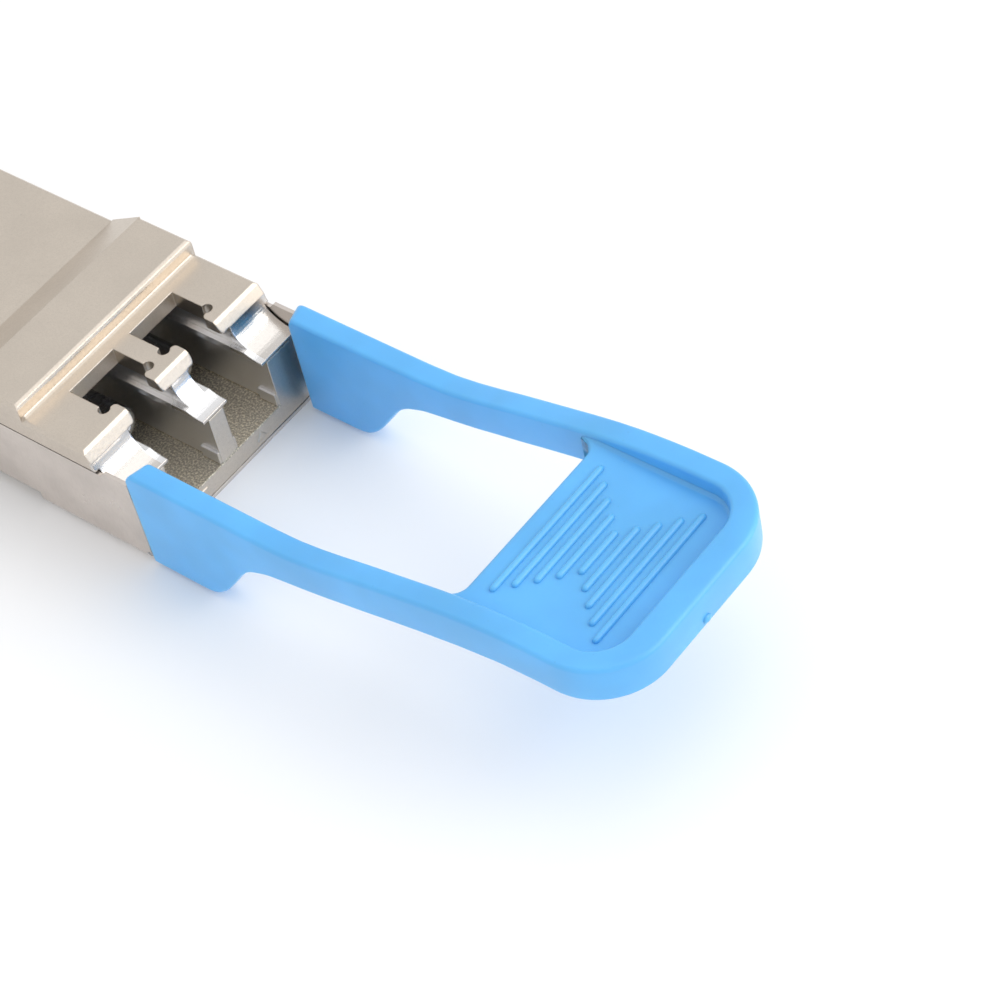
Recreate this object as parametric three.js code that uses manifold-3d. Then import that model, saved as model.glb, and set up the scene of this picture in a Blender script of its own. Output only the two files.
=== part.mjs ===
// Pluggable optical transceiver module with a duplex fibre port and a pull tab.
// Millimetres. +X points out of the port towards the pull tab, +Z up. Lengths inside each
// function are measured from the front face of the port (x = 0), the middle plane (y = 0)
// and the underside of the nose (z = 0). The last lines shift the whole assembly so that
// its origin is the bottom centre of its bounding box.
import * as THREE from 'three';
import { mergeVertices } from 'three/addons/utils/BufferGeometryUtils.js';
import Module from 'manifold-3d';

const wasm = await Module();
wasm.setup();

// ---- overall sizes ----------------------------------------------------------------------
const MODULE_LENGTH = 72.4;        // port face to rear end of the housing
const MODULE_WIDTH = 18.35;        // across the housing sides
const BODY_HEIGHT = 8.5;           // part of the module that enters the cage
const NOSE_DROP = 0.68;            // how far the nose hangs below the body
const TAB_TIP = 42.3;              // port face to the tip of the pull tab
const TRAVEL = 3.2;                // pull stroke of the latch slider
const OVERSHOOT = 0.5;             // how far a cutter runs past the face it opens
const PART_CLEARANCE = 0.1;        // gap between neighbouring inner parts
const HAIR_GAP = 0.03;             // gap between a part and the face it lies on

const HALF = MODULE_WIDTH / 2;
const BODY_BOTTOM = NOSE_DROP;
const BODY_TOP = BODY_BOTTOM + BODY_HEIGHT;
const HULL_BACK = -MODULE_LENGTH;

// ---- castings ---------------------------------------------------------------------------
const ROOF = 1.13;                 // thickness of the top housing plate
const FLOOR = 1.2;                 // thickness of the bottom housing floor
const SIDE_WALL = 1.775;
const SEAM_GAP = 0.05;             // gap at the seam between the housings
const EDGE_CHAMFER = 0.2;          // broken edges of the castings
const BOTTOM_RADIUS = 1.2;         // rounded lower long edges
const RIDGE_RISE = 1.82;           // ridge above the body's top
const RIDGE_FRONT = -9.04;
const RIDGE_TOP_BACK = -14.0;
const RAMP_START = -17.3;
const RIDGE_CHAMFER = 0.35;
const RIDGE_FOOT_HEIGHT = 0.2;     // hollow fillet at the foot of the ridge's front
const RIDGE_FOOT_RUN = 0.85;
const PORT_TOP_RISE = 0.52;        // port roof above the body's top
const PORT_ROOF_FRONT = -3.1;      // front edge of the port roof
const PORT_ROOF = 0.95;            // thickness of the latch lugs
const BEVEL_RUN = 0.4;             // forward run of the lug's slanted front face
const LIP_TOP = 6.75;              // front lip of the hollow guide slopes

const PLATE_BOTTOM = BODY_TOP - ROOF;
const PLATE_MIDDLE = BODY_TOP - ROOF / 2;
const SEAM = PLATE_BOTTOM - SEAM_GAP;
const RIDGE_TOP = BODY_TOP + RIDGE_RISE;
const PORT_TOP = BODY_TOP + PORT_TOP_RISE;
const LUG_BOTTOM = PORT_TOP - PORT_ROOF;
const SIDE_MIDDLE = (BODY_BOTTOM + SEAM) / 2;
const CAVITY_FLOOR = BODY_BOTTOM + FLOOR;
const CAVITY_HALF_WIDTH = HALF - SIDE_WALL;

// ---- fibre ports ------------------------------------------------------------------------
const PORT_PITCH = 6.25;           // distance between the two fibre axes
const PORT_WIDTH = 4.75;           // clear width of each port
const PORT_HEIGHT = 4.45;          // port floor to the underside of the guide flanges
const PORT_FLOOR = 2.0;
const PORT_DEPTH = 12.4;
const FIBRE_LIFT = 0.15;           // fibre axis above the middle of the port's height
const LATCH_CHANNEL_WIDTH = 4.56;  // latch channel above the port
const FLANGE_TOP = 7.1;            // floor of the latch channel
const FLANGE_GAP = 3.78;           // gap between the guide flanges
const SLOT_BACK = -7.93;           // back wall of the latch slot
const LUG_LENGTH = 1.25;
const LUG_GAP = 2.93;              // gap between the lugs that the latch passes
const LUG_CORNER = 0.35;
const SCALLOP_RADIUS = 0.45;
const SCALLOP_SET_BACK = 0.27;     // scallop's centre behind the lug's back face
const CHANNEL_STEP = 0.45;         // ceiling of the channel behind the slot, below the lugs' underside
const NOTCH_RISE = 1.15;           // guide blocks at the foot of the port walls
const NOTCH_LENGTH = 1.67;
const NOTCH_STEP = 0.2;
const NOTCH_SET_IN = 0.05;
const MARK_SIZE = 0.5;             // triangles that mark the ports' directions
const MARK_RELIEF = 0.08;

const NOTCH_TOP = PORT_FLOOR + NOTCH_RISE;
const PORT_Y = PORT_PITCH / 2;
const PORT_OUTER = PORT_Y + PORT_WIDTH / 2;
const FIBRE_Z = PORT_FLOOR + PORT_HEIGHT / 2 + FIBRE_LIFT;
const LOWER_WALL_TOP = PORT_FLOOR + PORT_HEIGHT;
const BAY_FRONT = -PORT_DEPTH - 3.0;

// ---- latch slider -----------------------------------------------------------------------
const SHEET = 0.3;                 // sheet thickness
const SLIDER_CLEARANCE = 0.1;
const SLIDER_BACK = -10.25;        // rear edge of the slider's U
const SLIDER_FRONT = 0.45;         // front edge of its side plates
const SIDE_PLATE_LIFT = 0.9;       // lower edge of the side plates behind the U
const SHOULDER_BACK = -16.0;       // rear edge of the full-height side plates
const FRONT_RISE = 0.35;           // upper front corner above the seam
const FRONT_RISE_LENGTH = 2.2;
const ARM_BACK = -33.0;
const ARM_HALF_HEIGHT = 1.6;
const TIP_LENGTH = 3.0;
const TIP_SET_IN = 0.45;
const TIP_POCKET_MARGIN = 0.6;
const TONGUE_BACK = 1.3;
const TONGUE_FRONT = 6.6;
const TONGUE_HALF_HEIGHT = 2.4;
const TONGUE_SET_IN = 0.55;
const TONGUE_BEND_SET_IN = 0.05;
const TONGUE_CLEARANCE = 0.1;
const NOSE_HALF = HALF - SHEET - SLIDER_CLEARANCE;
const NOSE_BOTTOM = SHEET + SLIDER_CLEARANCE;
const SIDE_PLATE_BOTTOM = BODY_BOTTOM + SIDE_PLATE_LIFT;

// ---- return springs ---------------------------------------------------------------------
const SPRING_RADIUS = 0.6;         // to the centre of the wire
const SPRING_WIRE = 0.13;          // half the wire's thickness
const SPRING_TURNS = 7;
const SPRING_FRONT = -3.5;
const SPRING_SOLID_LENGTH = 2.3;
const SPRING_POCKET_WALL = 0.1;
const FINGER = 0.5;
const FINGER_CLEARANCE = 0.35;
const SPRING_BACK = SPRING_FRONT - TRAVEL - SPRING_SOLID_LENGTH;
const SPRING_Y = (PORT_OUTER + NOSE_HALF) / 2;

// ---- pull tab ---------------------------------------------------------------------------
const TAB_BACK = 0.9;              // rear end of the tab's arms
const TAB_PROUD = 0.025;           // arms stand this far outside the housing
const TAB_ARM = 1.75;              // width of each arm
const TAB_ROOT_DROP = 0.1;         // roots' top below the port roof
const TAB_RISE = 3.8;              // how far the tip stands above the roots
const TAB_RISE_START = 12.5;
const TAB_FLAT = 6.8;              // level stretch at the tip
const TAB_THICKNESS = 3.05;
const TAB_CORNER = 5.0;
const FOOT_BOTTOM = 0.4;
const FOOT_FRONT = 6.4;
const FOOT_LOBE = 1.1;
const FOOT_SWEEP = 7.6;            // foot's front to where its sweep meets the arm's underside
const HEEL = 0.5;
const ROOT_CORNER = 0.8;
const PAD_LENGTH = 14.0;           // tip to the front edge of the thumb pad
const LOOP_CORNER = 1.3;
const PAD_DROP = 1.35;             // pad's face below the rim
const PAD_INSET = 0.05;
const RIM = 2.1;                   // width of the rim across the tip
const PAD_CORNER = 2.6;
const RIB_COUNT = 9;
const RIB_MARGIN = 1.7;            // first rib to the pad's front edge
const RIB_END_MARGIN = 2.2;        // last rib to the recess's end wall
const RIB_SIDE_MARGIN = 1.5;
const RIB_STEP_SHARE = 0.166;      // each rib shorter than its neighbour by this share of the longest
const RIB_WIDTH = 0.36;
const RIB_HEIGHT = 0.3;

const TAB_OUTER = HALF + TAB_PROUD;
const TAB_INNER = TAB_OUTER - TAB_ARM;
const TAB_ROOT_TOP = PORT_TOP - TAB_ROOT_DROP;
const TAB_RISE_END = TAB_TIP - TAB_FLAT;
const LOOP_FRONT = TAB_TIP - PAD_LENGTH;
const PAD_TOP = TAB_ROOT_TOP + TAB_RISE - PAD_DROP;
const PAD_HALF_WIDTH = TAB_INNER - PAD_INSET;
const PAD_BACK_WALL = TAB_TIP - RIM;
const RIB_FIRST = LOOP_FRONT + RIB_MARGIN;
const RIB_PITCH = (PAD_BACK_WALL - RIB_END_MARGIN - RIB_FIRST) / (RIB_COUNT - 1);
const RIB_LONGEST = PAD_HALF_WIDTH - RIB_SIDE_MARGIN;

// ---- optics -----------------------------------------------------------------------------
const SLEEVE_RADIUS = 1.45;
const SLEEVE_BORE = 0.7;
const SLEEVE_BORE_DEPTH = 6.4;
const SLEEVE_REACH = 5.6;          // how far the sleeve stands out of the port's back wall
const SLEEVE_CHAMFER = 0.2;
const SLEEVE_RIM = 0.65;           // flange beyond the sleeve
const SLEEVE_FLANGE = 0.8;
const SLEEVE_CLEARANCE = 0.15;
const FLANGE_SET_BACK = 1.6;       // flange's front behind the port's back wall
const STUB_LENGTH = 3.7;
const STUB_CLEARANCE = 0.06;
const STUB_CHAMFER = 0.1;
const PACKAGE_LENGTH = 6.6;
const PACKAGE_HEIGHT = 4.4;
const PACKAGE_GAP = 0.35;          // between the two packages
const PACKAGE_SIDE_GAP = 1.325;    // to the side wall
const PACKAGE_LID = 0.3;
const PACKAGE_LID_INSET = 0.35;
const CLAMP_BAR = 0.42;            // depth of the bar above the two sleeves
const FLEX_THICKNESS = 0.14;
const FLEX_ARCH = 0.7;
const FLEX_FOOT = 2.2;
const FLEX_DROP = 1.3;
const FLEX_SIDE_INSET = 0.9;
const THERMAL_PAD_INSET = 0.7;

const SLEEVE_FLANGE_RADIUS = SLEEVE_RADIUS + SLEEVE_RIM;
const SLEEVE_FRONT = -PORT_DEPTH + SLEEVE_REACH;
const SLEEVE_FLANGE_FRONT = -PORT_DEPTH - FLANGE_SET_BACK;
const SLEEVE_BACK = BAY_FRONT - 0.3;
const PACKAGE_FRONT = SLEEVE_BACK - 0.05;
const PACKAGE_BACK = PACKAGE_FRONT - PACKAGE_LENGTH;
const PACKAGE_INNER_ROOM = PORT_Y - PACKAGE_GAP / 2;
const PACKAGE_OUTER_ROOM = CAVITY_HALF_WIDTH - PACKAGE_SIDE_GAP - PORT_Y;
const PACKAGE_WIDTH = 2 * Math.min(PACKAGE_INNER_ROOM, PACKAGE_OUTER_ROOM);
const PACKAGE_TOP = CAVITY_FLOOR + PART_CLEARANCE + PACKAGE_HEIGHT;
const CLAMP_TOP = LOWER_WALL_TOP - PART_CLEARANCE;

// ---- board ------------------------------------------------------------------------------
const BOARD_LIFT = 2.57;           // board's underside above the floor
const BOARD_THICKNESS = 1.0;
const BOARD_SIDE_GAP = 0.15;
const BOARD_CLEARANCE = 0.12;
const BOARD_GAP = 2.65;            // board's front behind the packages
const LEDGE_WIDTH = 0.85;
const PADDLE_WALL = 0.955;         // side wall beside the contact end of the board
const PADDLE_LENGTH = 9.1;
const PADDLE_SET_IN = 0.8;         // board's rear edge inside the housing's rear end
const MOUTH_DEPTH = 6.4;           // how far the floor stops short of the rear end
const CONTACT_COUNT = 19;
const CONTACT_MARGIN = 0.63;       // outermost contact to the board's side
const CONTACT_SHARE = 0.675;       // contact width as a share of the pitch
const CONTACT_LENGTH = 2.2;
const CONTACT_SET_IN = 0.5;
const CONTACT_THICKNESS = 0.05;
const CONTACT_CLEARANCE = 0.02;
const TIE_WIDTH = 0.3;

const BOARD_BOTTOM = CAVITY_FLOOR + BOARD_LIFT;
const BOARD_TOP = BOARD_BOTTOM + BOARD_THICKNESS;
const BOARD_FRONT = PACKAGE_BACK - BOARD_GAP;
const BOARD_BACK = HULL_BACK + PADDLE_SET_IN;
const PADDLE_FRONT = BOARD_BACK + PADDLE_LENGTH;
const BOARD_HALF_WIDTH = CAVITY_HALF_WIDTH - BOARD_SIDE_GAP;
const PADDLE_HALF_WIDTH = HALF - PADDLE_WALL - BOARD_CLEARANCE;
const CONTACT_PITCH = (2 * (PADDLE_HALF_WIDTH - CONTACT_MARGIN)) / (CONTACT_COUNT - 1 + CONTACT_SHARE);
const CONTACT_WIDTH = CONTACT_PITCH * CONTACT_SHARE;

// ---- screws, lid rib and gaskets --------------------------------------------------------
const SCREW_HEAD_RADIUS = 1.25;
const SCREW_HEAD = 0.6;
const SCREW_HEAD_SUNK = 0.1;
const SCREW_RADIUS = 0.7;
const SOCKET_RADIUS = 0.4;
const SOCKET_DEPTH = 0.15;
const SCREW_SIDE = 1.9;            // screw's axis to the cavity wall
const SCREW_PADDLE_GAP = 4.0;      // rear screws in front of the board's contact end
const BOSS_RADIUS = 1.4;
const LOWER_BOSS_RADIUS = 1.75;
const THREAD_CLEARANCE = 0.08;
const SHANK_CLEARANCE = 0.12;
const HEAD_SEAT = 0.75;            // depth of the counterbore for the screw's head
const BOARD_HOLE_CLEARANCE = 0.3;
const RIB_WALL = 0.9;              // locating rib under the lid
const RIB_DEPTH = 1.0;
const RIB_SET_BACK = 9.0;          // rib's front wall behind the front wall of the optical bay
const GASKET_SET_OUT = 0.35;       // groove to the cavity wall
const GASKET_WIDTH = 0.5;
const GASKET_DEPTH = 0.5;
const GASKET_SIDE_CLEARANCE = 0.05;
const GASKET_END = 12.4;           // groove's rear end to the housing's rear end
const GASKET_FRONT = -20;

const SCREW_Y = CAVITY_HALF_WIDTH - SCREW_SIDE;
const SCREW_FRONT = BOARD_FRONT - FLEX_FOOT - 2 * BOSS_RADIUS;
const SCREW_BACK = PADDLE_FRONT + SCREW_PADDLE_GAP;
const GASKET_Y = CAVITY_HALF_WIDTH + GASKET_SET_OUT;
const GASKET_BACK = HULL_BACK + GASKET_END;

// ---- solid helpers ----------------------------------------------------------------------
function solid(geometry) {
  const bare = geometry.index ? geometry.toNonIndexed() : geometry.clone();
  bare.deleteAttribute('normal');
  bare.deleteAttribute('uv');
  const merged = mergeVertices(bare, 1e-5);
  const mesh = new wasm.Mesh({
    numProp: 3,
    vertProperties: new Float32Array(merged.attributes.position.array),
    triVerts: new Uint32Array(merged.index.array),
  });
  return new wasm.Manifold(mesh);
}

function geometryOf(manifold) {
  const mesh = manifold.getMesh();
  const geometry = new THREE.BufferGeometry();
  geometry.setAttribute('position', new THREE.BufferAttribute(mesh.vertProperties, 3));
  geometry.setIndex(new THREE.BufferAttribute(mesh.triVerts, 1));
  geometry.computeVertexNormals();
  return geometry;
}

function box(x0, x1, y0, y1, z0, z1) {
  const geometry = new THREE.BoxGeometry(x1 - x0, y1 - y0, z1 - z0);
  geometry.translate((x0 + x1) / 2, (y0 + y1) / 2, (z0 + z1) / 2);
  return solid(geometry);
}

function outline(points) {
  const shape = new THREE.Shape();
  points.forEach(([a, b], i) => (i ? shape.lineTo(a, b) : shape.moveTo(a, b)));
  return shape;
}

// Shape drawn in (x, z), pushed along Y from y0 to y1.
function sideExtrude(shape, y0, y1, curveSegments = 8) {
  const geometry = new THREE.ExtrudeGeometry(shape, { depth: y1 - y0, bevelEnabled: false, curveSegments });
  geometry.rotateX(Math.PI / 2);
  geometry.translate(0, y1, 0);
  return solid(geometry);
}

// Shape drawn in (x, y), pushed along Z from z0 to z1.
function planExtrude(shape, z0, z1, curveSegments = 8) {
  const geometry = new THREE.ExtrudeGeometry(shape, { depth: z1 - z0, bevelEnabled: false, curveSegments });
  geometry.translate(0, 0, z0);
  return solid(geometry);
}

// Shape drawn in (y, z), pushed along X from x0 to x1.
function frontExtrude(shape, x0, x1, curveSegments = 6) {
  const geometry = new THREE.ExtrudeGeometry(shape, { depth: x1 - x0, bevelEnabled: false, curveSegments });
  geometry.rotateX(Math.PI / 2);
  geometry.rotateZ(Math.PI / 2);
  geometry.translate(x0, 0, 0);
  return solid(geometry);
}

function upright(x, y, radius, z0, z1, segments = 24) {
  const geometry = new THREE.CylinderGeometry(radius, radius, z1 - z0, segments);
  geometry.rotateX(Math.PI / 2);
  geometry.translate(x, y, (z0 + z1) / 2);
  return solid(geometry);
}

// Profile of [x, radius] pairs turned about the fibre axis at (y, z).
function turned(profile, y, z, segments = 28) {
  const points = profile.map(([x, r]) => new THREE.Vector2(r, x));
  const geometry = new THREE.LatheGeometry(points, segments);
  geometry.rotateZ(-Math.PI / 2);
  geometry.translate(0, y, z);
  return solid(geometry);
}

function union(first, ...rest) {
  return rest.reduce((sum, piece) => sum.add(piece), first);
}

function cut(first, ...tools) {
  return tools.reduce((left, tool) => left.subtract(tool), first);
}

function mirrored(manifold) {
  return manifold.mirror([0, 1, 0]);
}

// Cross-section of a tray in (y, z): flat top, rounded lower corners.
function trayShape(half, bottom, top, radius) {
  const shape = new THREE.Shape();
  shape.moveTo(-half, top);
  shape.lineTo(-half, bottom + radius);
  shape.absarc(-half + radius, bottom + radius, radius, Math.PI, 1.5 * Math.PI, false);
  shape.lineTo(half - radius, bottom);
  shape.absarc(half - radius, bottom + radius, radius, 1.5 * Math.PI, 2 * Math.PI, false);
  shape.lineTo(half, top);
  shape.closePath();
  return shape;
}

// ---- top housing ------------------------------------------------------------------------
// Front contour of the nose: slanted lug face, then a concave quarter-ellipse to the lip.
function slopePoints(steps = 14) {
  const startX = PORT_ROOF_FRONT + BEVEL_RUN;
  const drop = LUG_BOTTOM - LIP_TOP;
  const points = [];
  for (let i = 0; i <= steps; i += 1) {
    const t = (i / steps) * (Math.PI / 2);
    points.push([startX * Math.cos(t), LUG_BOTTOM - drop * Math.sin(t)]);
  }
  return points;
}

// Hollow fillet at the foot of the ridge's front face.
function ridgeFoot(steps = 4) {
  const points = [];
  for (let i = 0; i <= steps; i += 1) {
    const t = (i / steps) * (Math.PI / 2);
    points.push([
      RIDGE_FRONT + RIDGE_FOOT_RUN * (1 - Math.cos(t)),
      PORT_TOP + RIDGE_FOOT_HEIGHT * (1 - Math.sin(t)),
    ]);
  }
  return points;
}

function noseProfile() {
  return outline([
    [HULL_BACK, LOWER_WALL_TOP], [HULL_BACK, BODY_TOP], [RAMP_START, BODY_TOP],
    [RIDGE_TOP_BACK, RIDGE_TOP], [RIDGE_FRONT - RIDGE_CHAMFER, RIDGE_TOP],
    [RIDGE_FRONT - RIDGE_CHAMFER * 0.3, RIDGE_TOP - RIDGE_CHAMFER * 0.3],
    [RIDGE_FRONT, RIDGE_TOP - RIDGE_CHAMFER], ...ridgeFoot(),
    [PORT_ROOF_FRONT - EDGE_CHAMFER, PORT_TOP], [PORT_ROOF_FRONT, PORT_TOP - EDGE_CHAMFER],
    ...slopePoints(), [0, LOWER_WALL_TOP],
  ]);
}

// What is cut away to round one upright corner of a lug: a square less a quarter circle.
// The corner is at (x, y); alongX and alongY point from it into the lug.
function lugCorner(x, y, alongX, alongY, bottom, top) {
  const reachX = x + alongX * LUG_CORNER;
  const reachY = y + alongY * LUG_CORNER;
  const overX = x - alongX * OVERSHOOT;
  const overY = y - alongY * OVERSHOOT;
  const square = box(
    Math.min(overX, reachX), Math.max(overX, reachX), Math.min(overY, reachY), Math.max(overY, reachY),
    bottom, top,
  );
  return cut(square, upright(reachX, reachY, LUG_CORNER, bottom - OVERSHOOT, top + OVERSHOOT, 32));
}

// Latch slot in plan: square back, scalloped corners, narrow front gate between rounded lugs.
function latchSlot(side) {
  const inner = PORT_Y - LATCH_CHANNEL_WIDTH / 2;
  const outer = PORT_Y + LATCH_CHANNEL_WIDTH / 2;
  const gateInner = PORT_Y - LUG_GAP / 2;
  const gateOuter = PORT_Y + LUG_GAP / 2;
  const lugBack = PORT_ROOF_FRONT - LUG_LENGTH;
  const lugFront = PORT_ROOF_FRONT + BEVEL_RUN;
  const bottom = (FLANGE_TOP + LUG_BOTTOM) / 2;
  const top = RIDGE_TOP + OVERSHOOT;
  const scallopX = lugBack - SCALLOP_SET_BACK;
  const slot = union(
    box(SLOT_BACK, lugBack, inner, outer, bottom, top),
    box(lugBack - OVERSHOOT, OVERSHOOT, gateInner, gateOuter, bottom, top),
    upright(scallopX, inner, SCALLOP_RADIUS, bottom, top, 20),
    upright(scallopX, outer, SCALLOP_RADIUS, bottom, top, 20),
    lugCorner(lugBack, gateInner, 1, -1, bottom, top),
    lugCorner(lugBack, gateOuter, 1, 1, bottom, top),
    lugCorner(lugFront, gateInner, -1, -1, LUG_BOTTOM, top),
    lugCorner(lugFront, gateOuter, -1, 1, LUG_BOTTOM, top),
  );
  return side > 0 ? slot : mirrored(slot);
}

// Space above one port: latch channel under the roof and the gap between the flanges. The
// channel runs out through the hollow slope, and leaves the flanges standing at its sides.
function latchChannel(side) {
  const inner = PORT_Y - LATCH_CHANNEL_WIDTH / 2;
  const outer = PORT_Y + LATCH_CHANNEL_WIDTH / 2;
  const gapInner = PORT_Y - FLANGE_GAP / 2;
  const gapOuter = PORT_Y + FLANGE_GAP / 2;
  const gapBottom = LOWER_WALL_TOP - OVERSHOOT;
  const rearCeiling = LUG_BOTTOM - CHANNEL_STEP;
  const channel = union(
    box(-PORT_DEPTH, SLOT_BACK + OVERSHOOT, inner, outer, FLANGE_TOP, rearCeiling),
    box(SLOT_BACK, OVERSHOOT, inner, outer, FLANGE_TOP, LUG_BOTTOM),
    box(-PORT_DEPTH, OVERSHOOT, gapInner, gapOuter, gapBottom, (FLANGE_TOP + rearCeiling) / 2),
  );
  return side > 0 ? channel : mirrored(channel);
}

function screwPlaces() {
  const places = [];
  for (const x of [SCREW_FRONT, SCREW_BACK]) {
    for (const y of [-SCREW_Y, SCREW_Y]) {
      places.push([x, y]);
    }
  }
  return places;
}

// Cutters that break the two long upper edges of a stretch of the lid.
function edgeBreakers(x0, x1, top) {
  const near = HALF - EDGE_CHAMFER - OVERSHOOT;
  const far = HALF + OVERSHOOT;
  const wedge = frontExtrude(
    outline([[near, top + OVERSHOOT], [far, top - EDGE_CHAMFER - OVERSHOOT], [far, top + OVERSHOOT]]),
    x0, x1,
  );
  return [wedge, mirrored(wedge)];
}

// Locating rib that stands inside the cavity walls of the bottom housing.
function lidRib(top) {
  const outer = CAVITY_HALF_WIDTH - PART_CLEARANCE;
  const inner = outer - RIB_WALL;
  const front = BAY_FRONT - RIB_SET_BACK;
  const bottom = SEAM - RIB_DEPTH;
  return cut(
    box(PADDLE_FRONT, front, -outer, outer, bottom, top),
    box(PADDLE_FRONT + RIB_WALL, front - RIB_WALL, -inner, inner, bottom - OVERSHOOT, top + OVERSHOOT),
  );
}

// Hollow in the throat's underside over one sleeve's flange.
function flangeRelief(side) {
  const back = BAY_FRONT - OVERSHOOT;
  const front = SLEEVE_FLANGE_FRONT + SLEEVE_CLEARANCE;
  return roundRoom(back, front, side * PORT_Y, SLEEVE_FLANGE_RADIUS + SLEEVE_CLEARANCE);
}

function topHousing() {
  const plate = box(HULL_BACK, 0, -HALF, HALF, PLATE_BOTTOM, RIDGE_TOP);
  const throat = box(BAY_FRONT, 0, -NOSE_HALF, NOSE_HALF, LOWER_WALL_TOP + SEAM_GAP, PLATE_MIDDLE);
  const contour = sideExtrude(noseProfile(), -HALF - OVERSHOOT, HALF + OVERSHOOT);
  const casting = cut(
    union(plate, throat).intersect(contour),
    ...edgeBreakers(HULL_BACK - OVERSHOOT, RAMP_START, BODY_TOP),
    ...edgeBreakers(RIDGE_TOP_BACK, RIDGE_FRONT, RIDGE_TOP),
    ...edgeBreakers(RIDGE_FRONT, OVERSHOOT, PORT_TOP),
  );
  const bossBottom = BOARD_TOP + PART_CLEARANCE;
  const bosses = screwPlaces().map(([x, y]) => upright(x, y, BOSS_RADIUS, bossBottom, PLATE_MIDDLE));
  const holes = screwPlaces().map(([x, y]) => (
    upright(x, y, SCREW_RADIUS + THREAD_CLEARANCE, bossBottom - OVERSHOOT, PLATE_MIDDLE)
  ));
  const slots = [-1, 1].flatMap((side) => [latchSlot(side), latchChannel(side), flangeRelief(side)]);
  return cut(union(casting, lidRib(PLATE_MIDDLE), ...bosses), ...holes, ...slots);
}

// ---- bottom housing ---------------------------------------------------------------------
function portCavity(side) {
  const inner = PORT_Y - PORT_WIDTH / 2;
  const blockBottom = PORT_FLOOR - OVERSHOOT;
  const cavity = cut(
    box(-PORT_DEPTH, OVERSHOOT, inner, PORT_OUTER, PORT_FLOOR, LOWER_WALL_TOP + OVERSHOOT),
    box(-NOTCH_LENGTH, -NOTCH_SET_IN, inner - OVERSHOOT, inner + NOTCH_STEP, blockBottom, NOTCH_TOP),
    box(-NOTCH_LENGTH, -NOTCH_SET_IN, PORT_OUTER - NOTCH_STEP, PORT_OUTER + OVERSHOOT,
      blockBottom, NOTCH_TOP),
  );
  return side > 0 ? cavity : mirrored(cavity);
}

// Round room about a fibre axis, from x0 to x1.
function roundRoom(x0, x1, y, radius) {
  return turned([[x0, 0], [x0, radius], [x1, radius], [x1, 0]], y, FIBRE_Z);
}

// Seat for one sleeve: U-slot through the port's back wall, a wider slot for the flange,
// and room above both for the clamp bar.
function sleeveSeat(side) {
  const bore = SLEEVE_RADIUS + SLEEVE_CLEARANCE;
  const flange = SLEEVE_FLANGE_RADIUS + SLEEVE_CLEARANCE;
  const back = BAY_FRONT - PART_CLEARANCE;
  const front = -PORT_DEPTH + PART_CLEARANCE;
  const flangeFront = SLEEVE_FLANGE_FRONT + SLEEVE_CLEARANCE;
  const top = LOWER_WALL_TOP + OVERSHOOT;
  const seat = union(
    box(back, front, PORT_Y - bore, PORT_Y + bore, FIBRE_Z, top),
    roundRoom(back, front, PORT_Y, bore),
    box(back, flangeFront, PORT_Y - flange, PORT_Y + flange, FIBRE_Z - flange, top),
    box(back, flangeFront, -PORT_Y, PORT_Y, CLAMP_TOP - CLAMP_BAR - PART_CLEARANCE, top),
  );
  return side > 0 ? seat : mirrored(seat);
}

// Recess in one side wall for the slider: full-height plate, narrow arm, then the deeper
// pocket in which the release tip moves.
function sliderChannel(side) {
  const outside = HALF + OVERSHOOT;
  const half = ARM_HALF_HEIGHT + SLIDER_CLEARANCE;
  const tipHalf = half + TIP_POCKET_MARGIN;
  const tipBack = ARM_BACK - TIP_LENGTH;
  const channel = union(
    box(SHOULDER_BACK - SLIDER_CLEARANCE, SLIDER_BACK + OVERSHOOT, NOSE_HALF, outside,
      SIDE_PLATE_BOTTOM - SLIDER_CLEARANCE, SEAM + OVERSHOOT),
    box(tipBack - TIP_POCKET_MARGIN, SLIDER_BACK, NOSE_HALF, outside,
      SIDE_MIDDLE - half, SIDE_MIDDLE + half),
    box(tipBack - 2 * TIP_POCKET_MARGIN, ARM_BACK + TRAVEL + TIP_POCKET_MARGIN,
      NOSE_HALF - TIP_SET_IN - SLIDER_CLEARANCE, outside, SIDE_MIDDLE - tipHalf, SIDE_MIDDLE + tipHalf),
  );
  return side > 0 ? channel : mirrored(channel);
}

// Pocket beside the port for one return spring, open to the side under the slider.
function springPocket(side) {
  const half = SPRING_RADIUS + SPRING_WIRE + SPRING_POCKET_WALL;
  const pocket = box(
    SPRING_BACK - FINGER - FINGER_CLEARANCE, SPRING_FRONT + SPRING_POCKET_WALL,
    SPRING_Y - half, HALF + OVERSHOOT, FIBRE_Z - half, FIBRE_Z + half,
  );
  return side > 0 ? pocket : mirrored(pocket);
}

// Groove in the wall top for a seam gasket.
function gasketGroove(side) {
  const groove = box(
    GASKET_BACK, GASKET_FRONT, GASKET_Y, GASKET_Y + GASKET_WIDTH, SEAM - GASKET_DEPTH, SEAM + OVERSHOOT,
  );
  return side > 0 ? groove : mirrored(groove);
}

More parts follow.
